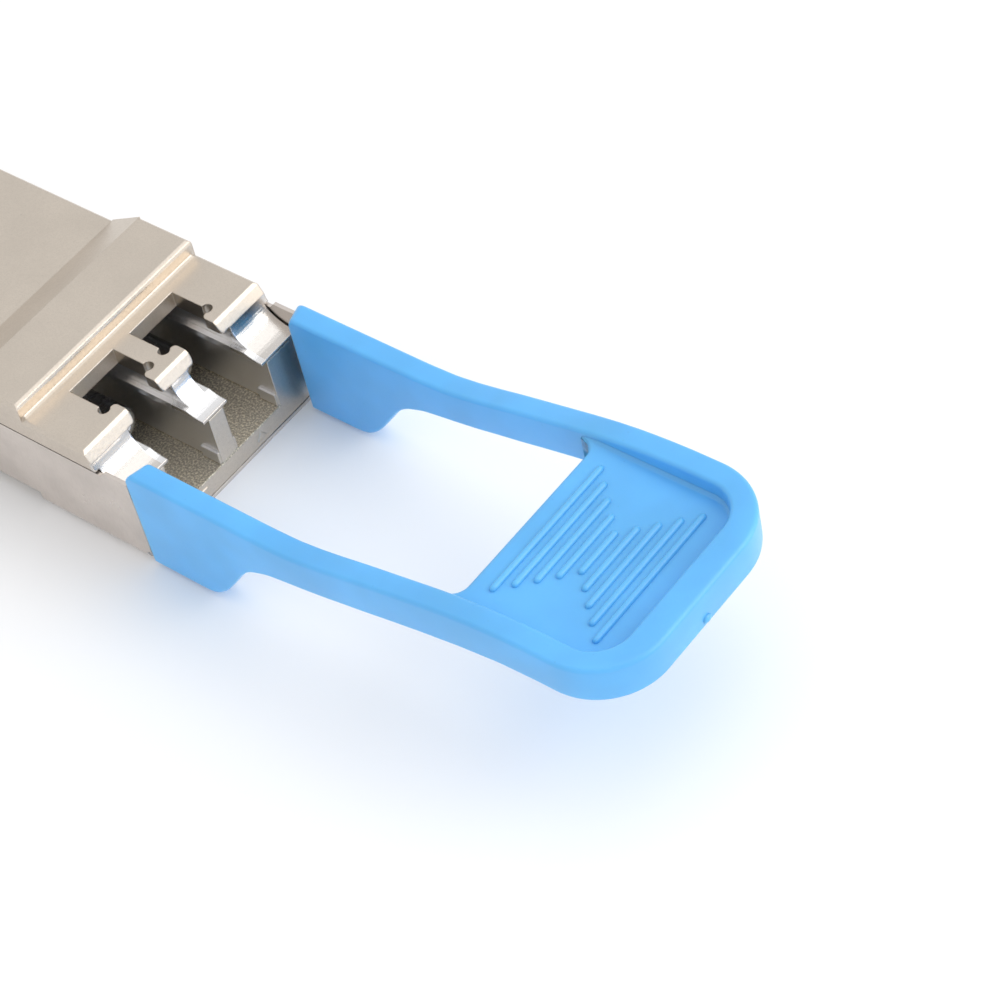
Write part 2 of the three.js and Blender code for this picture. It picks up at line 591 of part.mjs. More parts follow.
// Room inside the tray for the optics and the board, with the ledges the board lies on.
function electronicsBay() {
  const rear = HULL_BACK - OVERSHOOT;
  const top = SEAM + OVERSHOOT;
  const ledge = CAVITY_HALF_WIDTH - LEDGE_WIDTH;
  const paddle = PADDLE_HALF_WIDTH + BOARD_CLEARANCE;
  const seat = BOARD_BOTTOM - HAIR_GAP;
  return union(
    box(BOARD_FRONT, BAY_FRONT, -CAVITY_HALF_WIDTH, CAVITY_HALF_WIDTH, CAVITY_FLOOR, top),
    box(rear, BOARD_FRONT + OVERSHOOT, -ledge, ledge, CAVITY_FLOOR, top),
    box(rear, BOARD_FRONT + PART_CLEARANCE, -CAVITY_HALF_WIDTH, CAVITY_HALF_WIDTH, seat, top),
    box(rear, PADDLE_FRONT + BOARD_CLEARANCE, -paddle, paddle, seat, top),
    box(rear, HULL_BACK + MOUTH_DEPTH, -paddle, paddle, BODY_BOTTOM - OVERSHOOT, top),
  );
}

// Small raised triangle on the front lip: points up for the far port, down for the near one.
function portMark(y, direction) {
  const middle = (NOSE_BOTTOM + PORT_FLOOR) / 2;
  const base = middle - direction * MARK_SIZE * 0.6;
  const apex = middle + direction * MARK_SIZE * 0.7;
  const left = [y - MARK_SIZE, base];
  const right = [y + MARK_SIZE, base];
  const tip = [y, apex];
  const corners = direction > 0 ? [left, right, tip] : [left, tip, right];
  return frontExtrude(outline(corners), -MARK_RELIEF, MARK_RELIEF);
}

function bottomHousing() {
  const body = frontExtrude(
    trayShape(HALF, BODY_BOTTOM, SEAM, BOTTOM_RADIUS), HULL_BACK, SLIDER_BACK - SLIDER_CLEARANCE,
  );
  const nose = frontExtrude(
    trayShape(NOSE_HALF, NOSE_BOTTOM, LOWER_WALL_TOP, BOTTOM_RADIUS - SHEET), SLIDER_BACK - OVERSHOOT, 0,
  );
  const side = HALF + OVERSHOOT;
  const seamStep = box(BAY_FRONT, OVERSHOOT, -side, side, LOWER_WALL_TOP, SEAM + OVERSHOOT);
  const hollows = [-1, 1].flatMap((hand) => [
    portCavity(hand), sleeveSeat(hand), sliderChannel(hand), springPocket(hand), gasketGroove(hand),
  ]);
  const bosses = screwPlaces().map(([x, y]) => (
    upright(x, y, LOWER_BOSS_RADIUS, CAVITY_FLOOR - PART_CLEARANCE, BOARD_BOTTOM - PART_CLEARANCE)
  ));
  const holes = screwPlaces().flatMap(([x, y]) => [
    upright(x, y, SCREW_RADIUS + SHANK_CLEARANCE, BODY_BOTTOM - OVERSHOOT, BOARD_BOTTOM),
    upright(x, y, SCREW_HEAD_RADIUS + PART_CLEARANCE, BODY_BOTTOM - OVERSHOOT, BODY_BOTTOM + HEAD_SEAT),
  ]);
  const tray = cut(union(body, nose), electronicsBay(), seamStep, ...hollows);
  return union(cut(union(tray, ...bosses), ...holes), portMark(PORT_Y, 1), portMark(-PORT_Y, -1));
}

// ---- latch slider and pull tab ----------------------------------------------------------
// One side of the slider: tall plate, arm with its set-in release tip, tongue for the pull
// tab, and the finger that presses on the return spring.
function sliderSide() {
  const outer = HALF;
  const inner = HALF - SHEET;
  const plateTop = SEAM - SLIDER_CLEARANCE;
  const riseTop = SEAM + FRONT_RISE;
  const plate = sideExtrude(outline([
    [SHOULDER_BACK, SIDE_PLATE_BOTTOM], [SLIDER_BACK, SIDE_PLATE_BOTTOM], [SLIDER_BACK, BOTTOM_RADIUS],
    [SLIDER_FRONT, BOTTOM_RADIUS], [SLIDER_FRONT, riseTop], [SLIDER_FRONT - FRONT_RISE_LENGTH, riseTop],
    [SLIDER_FRONT - FRONT_RISE_LENGTH - FRONT_RISE, plateTop], [SHOULDER_BACK, plateTop],
  ]), inner, outer);
  const armBottom = SIDE_MIDDLE - ARM_HALF_HEIGHT;
  const armTop = SIDE_MIDDLE + ARM_HALF_HEIGHT;
  const arm = box(ARM_BACK, SHOULDER_BACK + OVERSHOOT, inner, outer, armBottom, armTop);
  const tipBack = ARM_BACK - TIP_LENGTH;
  const tip = planExtrude(outline([
    [ARM_BACK + SHEET, inner], [ARM_BACK + SHEET, outer], [ARM_BACK, outer],
    [tipBack, outer - TIP_SET_IN], [tipBack, inner - TIP_SET_IN], [ARM_BACK, inner],
  ]), armBottom, armTop);
  const tongueOuter = outer - TONGUE_SET_IN;
  const tongueInner = inner - TONGUE_SET_IN;
  const bendOuter = outer - TONGUE_BEND_SET_IN;
  const tongue = planExtrude(outline([
    [SLIDER_FRONT - SHEET, inner], [SLIDER_FRONT - SHEET, bendOuter], [SLIDER_FRONT, bendOuter],
    [TONGUE_BACK, tongueOuter], [TONGUE_FRONT, tongueOuter],
    [TONGUE_FRONT, tongueInner], [TONGUE_BACK, tongueInner], [SLIDER_FRONT, inner],
  ]), FIBRE_Z - TONGUE_HALF_HEIGHT, FIBRE_Z + TONGUE_HALF_HEIGHT);
  const fingerHalf = SPRING_RADIUS + SPRING_WIRE;
  const finger = box(
    SPRING_BACK - FINGER - HAIR_GAP, SPRING_BACK - HAIR_GAP, SPRING_Y - SPRING_RADIUS, inner + SHEET / 2,
    FIBRE_Z - fingerHalf, FIBRE_Z + fingerHalf,
  );
  return union(plate, arm, tip, tongue, finger);
}

function latchSlider() {
  const shell = frontExtrude(trayShape(HALF, 0, BOTTOM_RADIUS + SHEET, BOTTOM_RADIUS), SLIDER_BACK, 0);
  const core = frontExtrude(
    trayShape(HALF - SHEET, SHEET, BOTTOM_RADIUS + OVERSHOOT, BOTTOM_RADIUS - SHEET),
    SLIDER_BACK - OVERSHOOT, OVERSHOOT,
  );
  const side = sliderSide();
  return union(cut(shell, core), side, mirrored(side));
}

// Height of the tab's upper face at x: level at the arms' roots, then a smooth S up to the tip.
function tabTop(x) {
  const t = Math.min(Math.max((x - TAB_RISE_START) / (TAB_RISE_END - TAB_RISE_START), 0), 1);
  return TAB_ROOT_TOP + TAB_RISE * 0.5 * (1 - Math.cos(Math.PI * t));
}

// Side contour of the tab: tall root plate with a rounded foot, slender arm, flat tip.
function tabProfile(steps = 22) {
  const underside = TAB_ROOT_TOP - TAB_THICKNESS;
  const sweepEnd = FOOT_FRONT + FOOT_SWEEP;
  const shape = new THREE.Shape();
  shape.moveTo(TAB_BACK, FOOT_BOTTOM + HEEL);
  shape.quadraticCurveTo(TAB_BACK, FOOT_BOTTOM, TAB_BACK + HEEL, FOOT_BOTTOM);
  shape.lineTo(FOOT_FRONT - FOOT_LOBE * 0.4, FOOT_BOTTOM);
  shape.quadraticCurveTo(
    FOOT_FRONT + FOOT_LOBE, FOOT_BOTTOM + 0.1, FOOT_FRONT + FOOT_LOBE * 1.5, FOOT_BOTTOM + 1.5,
  );
  shape.bezierCurveTo(
    FOOT_FRONT + FOOT_SWEEP * 0.4, (FOOT_BOTTOM + underside) * 0.68,
    FOOT_FRONT + FOOT_SWEEP * 0.5, underside - 0.5, sweepEnd, tabTop(sweepEnd - 1.4) - TAB_THICKNESS,
  );
  for (let i = 1; i <= steps; i += 1) {
    const x = sweepEnd + ((TAB_TIP - sweepEnd) * i) / steps;
    shape.lineTo(x, tabTop(x) - TAB_THICKNESS);
  }
  for (let i = steps; i >= 0; i -= 1) {
    const x = TAB_RISE_START + ((TAB_TIP - TAB_RISE_START) * i) / steps;
    shape.lineTo(x, tabTop(x));
  }
  shape.lineTo(TAB_BACK + ROOT_CORNER, TAB_ROOT_TOP);
  shape.quadraticCurveTo(TAB_BACK, TAB_ROOT_TOP, TAB_BACK, TAB_ROOT_TOP - ROOT_CORNER);
  shape.closePath();
  return shape;
}

// Plan outline from x0 to x1 with rounded corners at x1 only.
function roundedEnd(x0, x1, half, radius) {
  const shape = new THREE.Shape();
  shape.moveTo(x0, -half);
  shape.lineTo(x1 - radius, -half);
  shape.absarc(x1 - radius, -half + radius, radius, -Math.PI / 2, 0, false);
  shape.lineTo(x1, half - radius);
  shape.absarc(x1 - radius, half - radius, radius, 0, Math.PI / 2, false);
  shape.lineTo(x0, half);
  shape.closePath();
  return shape;
}

// Pocket in one root plate for the slider's tongue, open towards the housing.
function tonguePocket(side) {
  const outer = HALF - TONGUE_SET_IN + TONGUE_CLEARANCE;
  const inner = HALF - SHEET - TONGUE_SET_IN - TONGUE_CLEARANCE;
  const half = TONGUE_HALF_HEIGHT + TONGUE_CLEARANCE;
  const back = TAB_BACK - OVERSHOOT;
  const bend = TONGUE_BACK + 2 * TONGUE_CLEARANCE;
  const flare = HALF + OVERSHOOT;
  const pocket = union(
    box(back, TONGUE_FRONT + TONGUE_CLEARANCE, inner, outer, FIBRE_Z - half, FIBRE_Z + half),
    planExtrude(
      outline([[back, inner], [bend, inner], [bend, outer], [back, flare]]), FIBRE_Z - half, FIBRE_Z + half,
    ),
  );
  return side > 0 ? pocket : mirrored(pocket);
}

// Grip ribs across the thumb pad, longest in the middle of the row.
function gripRibs() {
  const middle = (RIB_COUNT - 1) / 2;
  const ribs = [];
  for (let i = 0; i < RIB_COUNT; i += 1) {
    const x = RIB_FIRST + i * RIB_PITCH;
    const half = RIB_LONGEST * (1 - RIB_STEP_SHARE * (middle - Math.abs(i - middle)));
    ribs.push(box(
      x - RIB_WIDTH / 2, x + RIB_WIDTH / 2, -half, half, PAD_TOP - RIB_HEIGHT, PAD_TOP + RIB_HEIGHT,
    ));
  }
  return ribs;
}

function pullTab() {
  const bottom = -OVERSHOOT;
  const top = TAB_ROOT_TOP + TAB_RISE + OVERSHOOT;
  const over = 2 * OVERSHOOT;
  const blank = sideExtrude(tabProfile(), -TAB_OUTER, TAB_OUTER, 10);
  const plan = planExtrude(roundedEnd(TAB_BACK - OVERSHOOT, TAB_TIP, TAB_OUTER, TAB_CORNER), bottom, top, 8);
  const loop = planExtrude(
    roundedEnd(TAB_BACK - over, LOOP_FRONT, TAB_INNER, LOOP_CORNER), bottom - over, top + over, 5,
  );
  const recess = planExtrude(
    roundedEnd(LOOP_FRONT - over, PAD_BACK_WALL, PAD_HALF_WIDTH, PAD_CORNER), PAD_TOP, top + over, 6,
  );
  const tab = cut(blank.intersect(plan), loop, recess, tonguePocket(-1), tonguePocket(1));
  return union(tab, ...gripRibs());
}

class Helix extends THREE.Curve {
  constructor(back, front, y, z) {
    super();
    Object.assign(this, { back, front, y, z });
  }

  getPoint(t) {
    const angle = 2 * Math.PI * SPRING_TURNS * t;
    return new THREE.Vector3(
      this.back + (this.front - this.back) * t,
      this.y + SPRING_RADIUS * Math.cos(angle),
      this.z + SPRING_RADIUS * Math.sin(angle),
    );
  }
}

function returnSpring(side) {
  const inset = SPRING_WIRE + HAIR_GAP;
  const path = new Helix(SPRING_BACK + inset, SPRING_FRONT - inset, side * SPRING_Y, FIBRE_Z);
  const section = new THREE.Shape();
  section.absarc(0, 0, SPRING_WIRE, 0, 2 * Math.PI, false);
  const geometry = new THREE.ExtrudeGeometry(section, {
    steps: SPRING_TURNS * 12, extrudePath: path, bevelEnabled: false, curveSegments: 3,
  });
  return solid(geometry);
}

// ---- optics -----------------------------------------------------------------------------
function sleeve(side) {
  const flangeBack = SLEEVE_FLANGE_FRONT - SLEEVE_FLANGE;
  const rimBack = SLEEVE_FRONT - SLEEVE_CHAMFER;
  const boreEnd = SLEEVE_FRONT - SLEEVE_BORE_DEPTH;
  return turned([
    [SLEEVE_BACK, 0], [SLEEVE_BACK, SLEEVE_RADIUS], [flangeBack, SLEEVE_RADIUS],
    [flangeBack, SLEEVE_FLANGE_RADIUS], [SLEEVE_FLANGE_FRONT, SLEEVE_FLANGE_RADIUS],
    [SLEEVE_FLANGE_FRONT, SLEEVE_RADIUS], [rimBack, SLEEVE_RADIUS],
    [SLEEVE_FRONT, SLEEVE_RADIUS - SLEEVE_CHAMFER], [SLEEVE_FRONT, SLEEVE_BORE + SLEEVE_CHAMFER],
    [rimBack, SLEEVE_BORE], [boreEnd, SLEEVE_BORE], [boreEnd, 0],
  ], side * PORT_Y, FIBRE_Z);
}

function fibreStub(side) {
  const back = SLEEVE_FRONT - SLEEVE_BORE_DEPTH + HAIR_GAP;
  const front = back + STUB_LENGTH;
  const radius = SLEEVE_BORE - STUB_CLEARANCE;
  return turned([
    [back, 0], [back, radius], [front - STUB_CHAMFER, radius], [front, radius - STUB_CHAMFER], [front, 0],
  ], side * PORT_Y, FIBRE_Z, 20);
}

function opticalPackage(side) {
  const y = side * PORT_Y;
  const half = PACKAGE_WIDTH / 2;
  const lidHalf = half - PACKAGE_LID_INSET;
  const bottom = CAVITY_FLOOR + PART_CLEARANCE;
  const shoulder = PACKAGE_TOP - PACKAGE_LID;
  return union(
    box(PACKAGE_BACK, PACKAGE_FRONT, y - half, y + half, bottom, shoulder),
    box(
      PACKAGE_BACK + PACKAGE_LID_INSET, PACKAGE_FRONT - PACKAGE_LID_INSET, y - lidHalf, y + lidHalf,
      shoulder - PACKAGE_LID, PACKAGE_TOP,
    ),
  );
}

// Flexible circuit from the back of an optical package, over an arch, onto the board.
function flexCircuit(side) {
  const back = PACKAGE_BACK - HAIR_GAP;
  const low = BOARD_TOP - FLEX_DROP;
  const high = BOARD_TOP + HAIR_GAP;
  const crest = high + FLEX_ARCH;
  const crown = (back + BOARD_FRONT) / 2;
  const y = side * PORT_Y;
  const half = PACKAGE_WIDTH / 2 - FLEX_SIDE_INSET;
  const shape = new THREE.Shape();
  shape.moveTo(back, low);
  shape.lineTo(back, high);
  shape.quadraticCurveTo(back, crest, back - 0.6, crest);
  shape.quadraticCurveTo(crown, crest, BOARD_FRONT - 0.6, high + FLEX_THICKNESS);
  shape.lineTo(BOARD_FRONT - FLEX_FOOT, high + FLEX_THICKNESS);
  shape.lineTo(BOARD_FRONT - FLEX_FOOT, high);
  shape.lineTo(BOARD_FRONT - 0.65, high);
  shape.quadraticCurveTo(crown, crest - FLEX_THICKNESS, back - 0.6, crest - FLEX_THICKNESS);
  shape.quadraticCurveTo(back - FLEX_THICKNESS, crest - FLEX_THICKNESS, back - FLEX_THICKNESS, high);
  shape.lineTo(back - FLEX_THICKNESS, low);
  shape.closePath();
  return sideExtrude(shape, y - half, y + half, 6);
}

// Bar across both sleeves, with a saddle over each, that holds their flanges forward.
function sleeveClamp() {
  const back = BAY_FRONT + HAIR_GAP;
  const front = SLEEVE_FLANGE_FRONT - SLEEVE_FLANGE - HAIR_GAP;
  const half = PORT_Y + SLEEVE_FLANGE_RADIUS;
  const bar = box(back, front, -half, half, CLAMP_TOP - CLAMP_BAR, CLAMP_TOP);
  const legs = [-PORT_Y, PORT_Y].map((y) => (
    box(back, front, y - SLEEVE_FLANGE_RADIUS, y + SLEEVE_FLANGE_RADIUS, FIBRE_Z, CLAMP_TOP)
  ));
  const saddles = [-PORT_Y, PORT_Y].map((y) => (
    roundRoom(back - OVERSHOOT, front + OVERSHOOT, y, SLEEVE_RADIUS + SLEEVE_CLEARANCE)
  ));
  return cut(union(bar, ...legs), ...saddles);
}

// ---- electronics ------------------------------------------------------------------------
function mainBoard() {
  const blank = union(
    box(PADDLE_FRONT - OVERSHOOT, BOARD_FRONT, -BOARD_HALF_WIDTH, BOARD_HALF_WIDTH, BOARD_BOTTOM, BOARD_TOP),
    box(BOARD_BACK, PADDLE_FRONT, -PADDLE_HALF_WIDTH, PADDLE_HALF_WIDTH, BOARD_BOTTOM, BOARD_TOP),
  );
  const holes = screwPlaces().map(([x, y]) => (
    upright(x, y, SCREW_RADIUS + BOARD_HOLE_CLEARANCE, BOARD_BOTTOM - OVERSHOOT, BOARD_TOP + OVERSHOOT, 20)
  ));
  return cut(blank, ...holes);
}

// One row of edge contacts, joined at their front ends by a narrow tie.
function contactRow(z) {
  const front = BOARD_BACK + CONTACT_SET_IN + CONTACT_LENGTH;
  const top = z + CONTACT_THICKNESS;
  const reach = ((CONTACT_COUNT - 1) * CONTACT_PITCH) / 2;
  const contacts = [];
  for (let i = 0; i < CONTACT_COUNT; i += 1) {
    const left = i * CONTACT_PITCH - reach - CONTACT_WIDTH / 2;
    contacts.push(box(front - CONTACT_LENGTH, front, left, left + CONTACT_WIDTH, z, top));
  }
  return union(box(front - CONTACT_CLEARANCE, front + TIE_WIDTH, -reach, reach, z, top), ...contacts);
}

// Place along the board, from its front edge (0) to the start of its contact end (1).
function alongBoard(share) {
  return BOARD_FRONT + (PADDLE_FRONT - BOARD_FRONT) * share;
}

// Component on the board. Its place and its length along the board are shares of the board's
// length; its place and width across the board and its height are in millimetres.
function chip({ share, lengthShare, y, width, height }) {
  const front = alongBoard(share - lengthShare / 2);
  const back = alongBoard(share + lengthShare / 2);
  const z = BOARD_TOP + HAIR_GAP;
  return box(back, front, y - width / 2, y + width / 2, z, z + height);
}

// Soft pad from the top of a hot part up to the top housing.
function thermalPad(x, y, lengthX, lengthY, bottom) {
  const halfX = lengthX / 2 - THERMAL_PAD_INSET;
  const halfY = lengthY / 2 - THERMAL_PAD_INSET;
  return box(x - halfX, x + halfX, y - halfY, y + halfY, bottom + HAIR_GAP, PLATE_BOTTOM - HAIR_GAP);
}

function screw(x, y) {
  const head = BODY_BOTTOM + SCREW_HEAD_SUNK;
  const neck = BODY_BOTTOM + SCREW_HEAD;
  const tip = PLATE_BOTTOM - PART_CLEARANCE;
  const points = [
    [0, head + SOCKET_DEPTH], [SOCKET_RADIUS, head + SOCKET_DEPTH], [SOCKET_RADIUS, head],
    [SCREW_HEAD_RADIUS, head], [SCREW_HEAD_RADIUS, neck],
    [SCREW_RADIUS, neck], [SCREW_RADIUS, tip - SCREW_RADIUS / 2], [0, tip],
  ].map(([r, z]) => new THREE.Vector2(r, z));
  const geometry = new THREE.LatheGeometry(points, 20);
  geometry.rotateX(Math.PI / 2);
  geometry.translate(x, y, 0);
  return solid(geometry);
}

function gasket(side) {
  const strip = box(
    GASKET_BACK + PART_CLEARANCE, GASKET_FRONT - PART_CLEARANCE,
    GASKET_Y + GASKET_SIDE_CLEARANCE, GASKET_Y + GASKET_WIDTH - GASKET_SIDE_CLEARANCE,
    SEAM - GASKET_DEPTH + HAIR_GAP, PLATE_BOTTOM - HAIR_GAP / 3,
  );
  return side > 0 ? strip : mirrored(strip);
}

// ---- finishes ---------------------------------------------------------------------------
function finish(color, roughness, metalness) {
  return () => new THREE.MeshStandardMaterial({ color, roughness, metalness });
}
const nickel = finish(0xc9bdae, 0.4, 0.9);
const sheetSteel = finish(0xc4bcb2, 0.35, 0.9);
const blueTab = finish(0x69b4ee, 0.5, 0.0);
const springSteel = finish(0xb0b0b0, 0.3, 1.0);
const steel = finish(0xaaaaae, 0.3, 1.0);
const ceramic = finish(0xf2efe6, 0.3, 0.0);
const goldPlate = finish(0xd9a640, 0.25, 1.0);
const laminate = finish(0x1f5a35, 0.5, 0.0);
const polyimide = finish(0xc07a24, 0.4, 0.0);
const blackEpoxy = finish(0x1c1c1e, 0.5, 0.0);
const greySilicone = finish(0x8d8f94, 0.8, 0.0);
const ferrite = finish(0x3a3a3c, 0.6, 0.0);

// ---- assembly ---------------------------------------------------------------------------
const assembly = new THREE.Group();

function place(name, manifold, material) {
  const mesh = new THREE.Mesh(geometryOf(manifold), material());
  mesh.name = name;
  assembly.add(mesh);
}

place('top_housing', topHousing(), nickel);
place('bottom_housing', bottomHousing(), nickel);
place('latch_slider', latchSlider(), sheetSteel);
place('pull_tab', pullTab(), blueTab);

const SIDES = [['near', -1], ['far', 1]];
for (const [label, side] of SIDES) {
  place(`return_spring_${label}`, returnSpring(side), springSteel);
  place(`seam_gasket_${label}`, gasket(side), greySilicone);
}

const OPTICS = [['receive', 1], ['transmit', -1]];
for (const [label, side] of OPTICS) {
  const padX = (PACKAGE_FRONT + PACKAGE_BACK) / 2;
  const pad = thermalPad(padX, side * PORT_Y, PACKAGE_LENGTH, PACKAGE_WIDTH, PACKAGE_TOP);
  place(`${label}_sleeve`, sleeve(side), steel);
  place(`${label}_fibre_stub`, fibreStub(side), ceramic);
  place(`${label}_package`, opticalPackage(side), goldPlate);
  place(`${label}_flex`, flexCircuit(side), polyimide);
  place(`${label}_thermal_pad`, pad, greySilicone);
}
place('sleeve_clamp', sleeveClamp(), steel);

place('main_board', mainBoard(), laminate);
place('contacts_top', contactRow(BOARD_TOP + CONTACT_CLEARANCE), goldPlate);
place('contacts_bottom', contactRow(BOARD_BOTTOM - CONTACT_CLEARANCE - CONTACT_THICKNESS), goldPlate);

const PROCESSOR = { share: 0.48, lengthShare: 0.24, y: 0, width: 9, height: 0.9 };
const AMPLIFIER = { share: 0.21, lengthShare: 0.085, y: 2.2, width: 3.2, height: 0.75 };
const CHIPS = [
  ['processor_chip', blackEpoxy, PROCESSOR],
  ['laser_driver_chip', blackEpoxy, { share: 0.21, lengthShare: 0.09, y: -2.2, width: 3.4, height: 0.75 }],
  ['receiver_amplifier_chip', blackEpoxy, AMPLIFIER],
  ['memory_chip', blackEpoxy, { share: 0.3, lengthShare: 0.048, y: 0, width: 3.0, height: 0.6 }],
  ['controller_chip', blackEpoxy, { share: 0.747, lengthShare: 0.133, y: 1.4, width: 5, height: 0.8 }],
  ['power_converter_chip', blackEpoxy, { share: 0.747, lengthShare: 0.07, y: -2.6, width: 2.6, height: 0.8 }],
  ['power_inductor', ferrite, { share: 0.87, lengthShare: 0.07, y: -1.4, width: 2.2, height: 1.2 }],
];
for (const [name, material, spot] of CHIPS) {
  place(name, chip(spot), material);
}
const processorLength = (BOARD_FRONT - PADDLE_FRONT) * PROCESSOR.lengthShare;
const processorPad = thermalPad(
  alongBoard(PROCESSOR.share), PROCESSOR.y, processorLength, PROCESSOR.width,
  BOARD_TOP + HAIR_GAP + PROCESSOR.height,
);
place('processor_thermal_pad', processorPad, greySilicone);

screwPlaces().forEach(([x, y], i) => place(`housing_screw_${i + 1}`, screw(x, y), steel));

assembly.position.x = (MODULE_LENGTH - TAB_TIP) / 2;

export default assembly;
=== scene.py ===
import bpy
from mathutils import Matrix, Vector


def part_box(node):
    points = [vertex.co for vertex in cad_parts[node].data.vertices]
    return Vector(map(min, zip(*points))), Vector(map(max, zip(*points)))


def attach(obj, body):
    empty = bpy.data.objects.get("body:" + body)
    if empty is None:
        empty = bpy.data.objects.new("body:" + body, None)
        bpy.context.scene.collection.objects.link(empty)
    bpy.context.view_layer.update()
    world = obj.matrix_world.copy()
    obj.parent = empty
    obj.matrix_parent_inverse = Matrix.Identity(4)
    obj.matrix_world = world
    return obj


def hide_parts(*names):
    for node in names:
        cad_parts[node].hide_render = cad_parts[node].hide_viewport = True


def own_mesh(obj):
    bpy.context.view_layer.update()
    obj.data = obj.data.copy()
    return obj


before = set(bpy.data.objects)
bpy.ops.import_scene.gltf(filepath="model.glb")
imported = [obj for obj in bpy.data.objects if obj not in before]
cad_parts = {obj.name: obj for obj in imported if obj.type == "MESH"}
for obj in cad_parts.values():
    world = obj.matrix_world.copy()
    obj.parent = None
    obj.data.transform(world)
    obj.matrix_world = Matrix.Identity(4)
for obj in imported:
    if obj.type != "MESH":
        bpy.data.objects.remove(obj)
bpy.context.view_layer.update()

import logging
import math
from dataclasses import dataclass, field
from enum import Enum
from typing import Any, Mapping, Sequence, Union

import bpy
import numpy as np
from mathutils import Matrix, Vector

LOG = logging.getLogger("transceiver")
MM = 0.001
FAR = 1000.0  # beyond every part of the module, in millimetres
BEVEL_SAMPLES = 6
CORNER_SHARE = 0.98  # the largest corner radius, as a share of half a section
TAB_TIP = 42.3  # the tab's tip in front of the port face, in millimetres
# The port face's place along x in the row frame, in millimetres.
PORT_FACE = float(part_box("pull_tab")[1].x) / MM - TAB_TIP

Colour = tuple[float, float, float]
Value = Union["Wire", float, Sequence[float]]
Sockets = Mapping[Union[int, str], Value]


class Body(Enum):
    """The two bodies that a piece can ride on."""

    HOUSING = "housing"
    SLIDER = "slider"


class Slot(Enum):
    """Names of the record's material slots; new pieces are passed one, but nothing reads it."""

    BLUE_TAB = "blue_tab"
    SPRING_STEEL = "spring_steel"
    STEEL = "steel"


# ---- shader kit -------------------------------------------------------------------------


class Wire:
    """An output socket on which shader maths is written as Python expressions.

    Each operator takes another value or wire, adds one Math node and returns its result.
    """

    def __init__(self, graph: "Graph", socket: bpy.types.NodeSocket) -> None:
        """Wraps one socket.

        Args:
            graph: the material graph that new Math nodes go into.
            socket: the output socket.
        """
        self.graph = graph
        self.socket = socket

    def maths(self, operation: str, first: Value, second: Value = 0.0) -> "Wire":
        """Adds one Math node.

        Args:
            operation: Blender's name for the operation.
            first: the first value or wire.
            second: the second value or wire.

        Returns:
            The node's result.
        """
        return self.graph.make("ShaderNodeMath", {"operation": operation}, {0: first, 1: second})

    def __add__(self, other: Value) -> "Wire":
        """Sum."""
        return self.maths("ADD", self, other)

    def __radd__(self, other: Value) -> "Wire":
        """Reflected sum."""
        return self.maths("ADD", other, self)

    def __sub__(self, other: Value) -> "Wire":
        """Difference."""
        return self.maths("SUBTRACT", self, other)

    def __rsub__(self, other: Value) -> "Wire":
        """Reflected difference."""
        return self.maths("SUBTRACT", other, self)

    def __mul__(self, other: Value) -> "Wire":
        """Product."""
        return self.maths("MULTIPLY", self, other)

    def __rmul__(self, other: Value) -> "Wire":
        """Reflected product."""
        return self.maths("MULTIPLY", other, self)

    def __gt__(self, other: Value) -> "Wire":
        """One where this is greater than the other, zero elsewhere."""
        return self.maths("GREATER_THAN", self, other)

    def __lt__(self, other: Value) -> "Wire":
        """One where this is less than the other, zero elsewhere."""
        return self.maths("LESS_THAN", self, other)

    def absolute(self) -> "Wire":
        """Absolute value.

        Returns:
            This value without its sign.
        """
        return self.maths("ABSOLUTE", self)

    def sine(self) -> "Wire":
        """Sine of an angle in radians.

        Returns:
            The sine.
        """
        return self.maths("SINE", self)

    def ease(self, low: float, high: float) -> "Wire":
        """Smooth step from zero at low to one at high.

        Args:
            low: the value where the result is zero.
            high: the value where the result is one.

        Returns:
            The eased value.
        """
        settings = {"interpolation_type": "SMOOTHSTEP"}
        limits = {0: self, 1: low, 2: high, 3: 0.0, 4: 1.0}
        return self.graph.make("ShaderNodeMapRange", settings, limits)


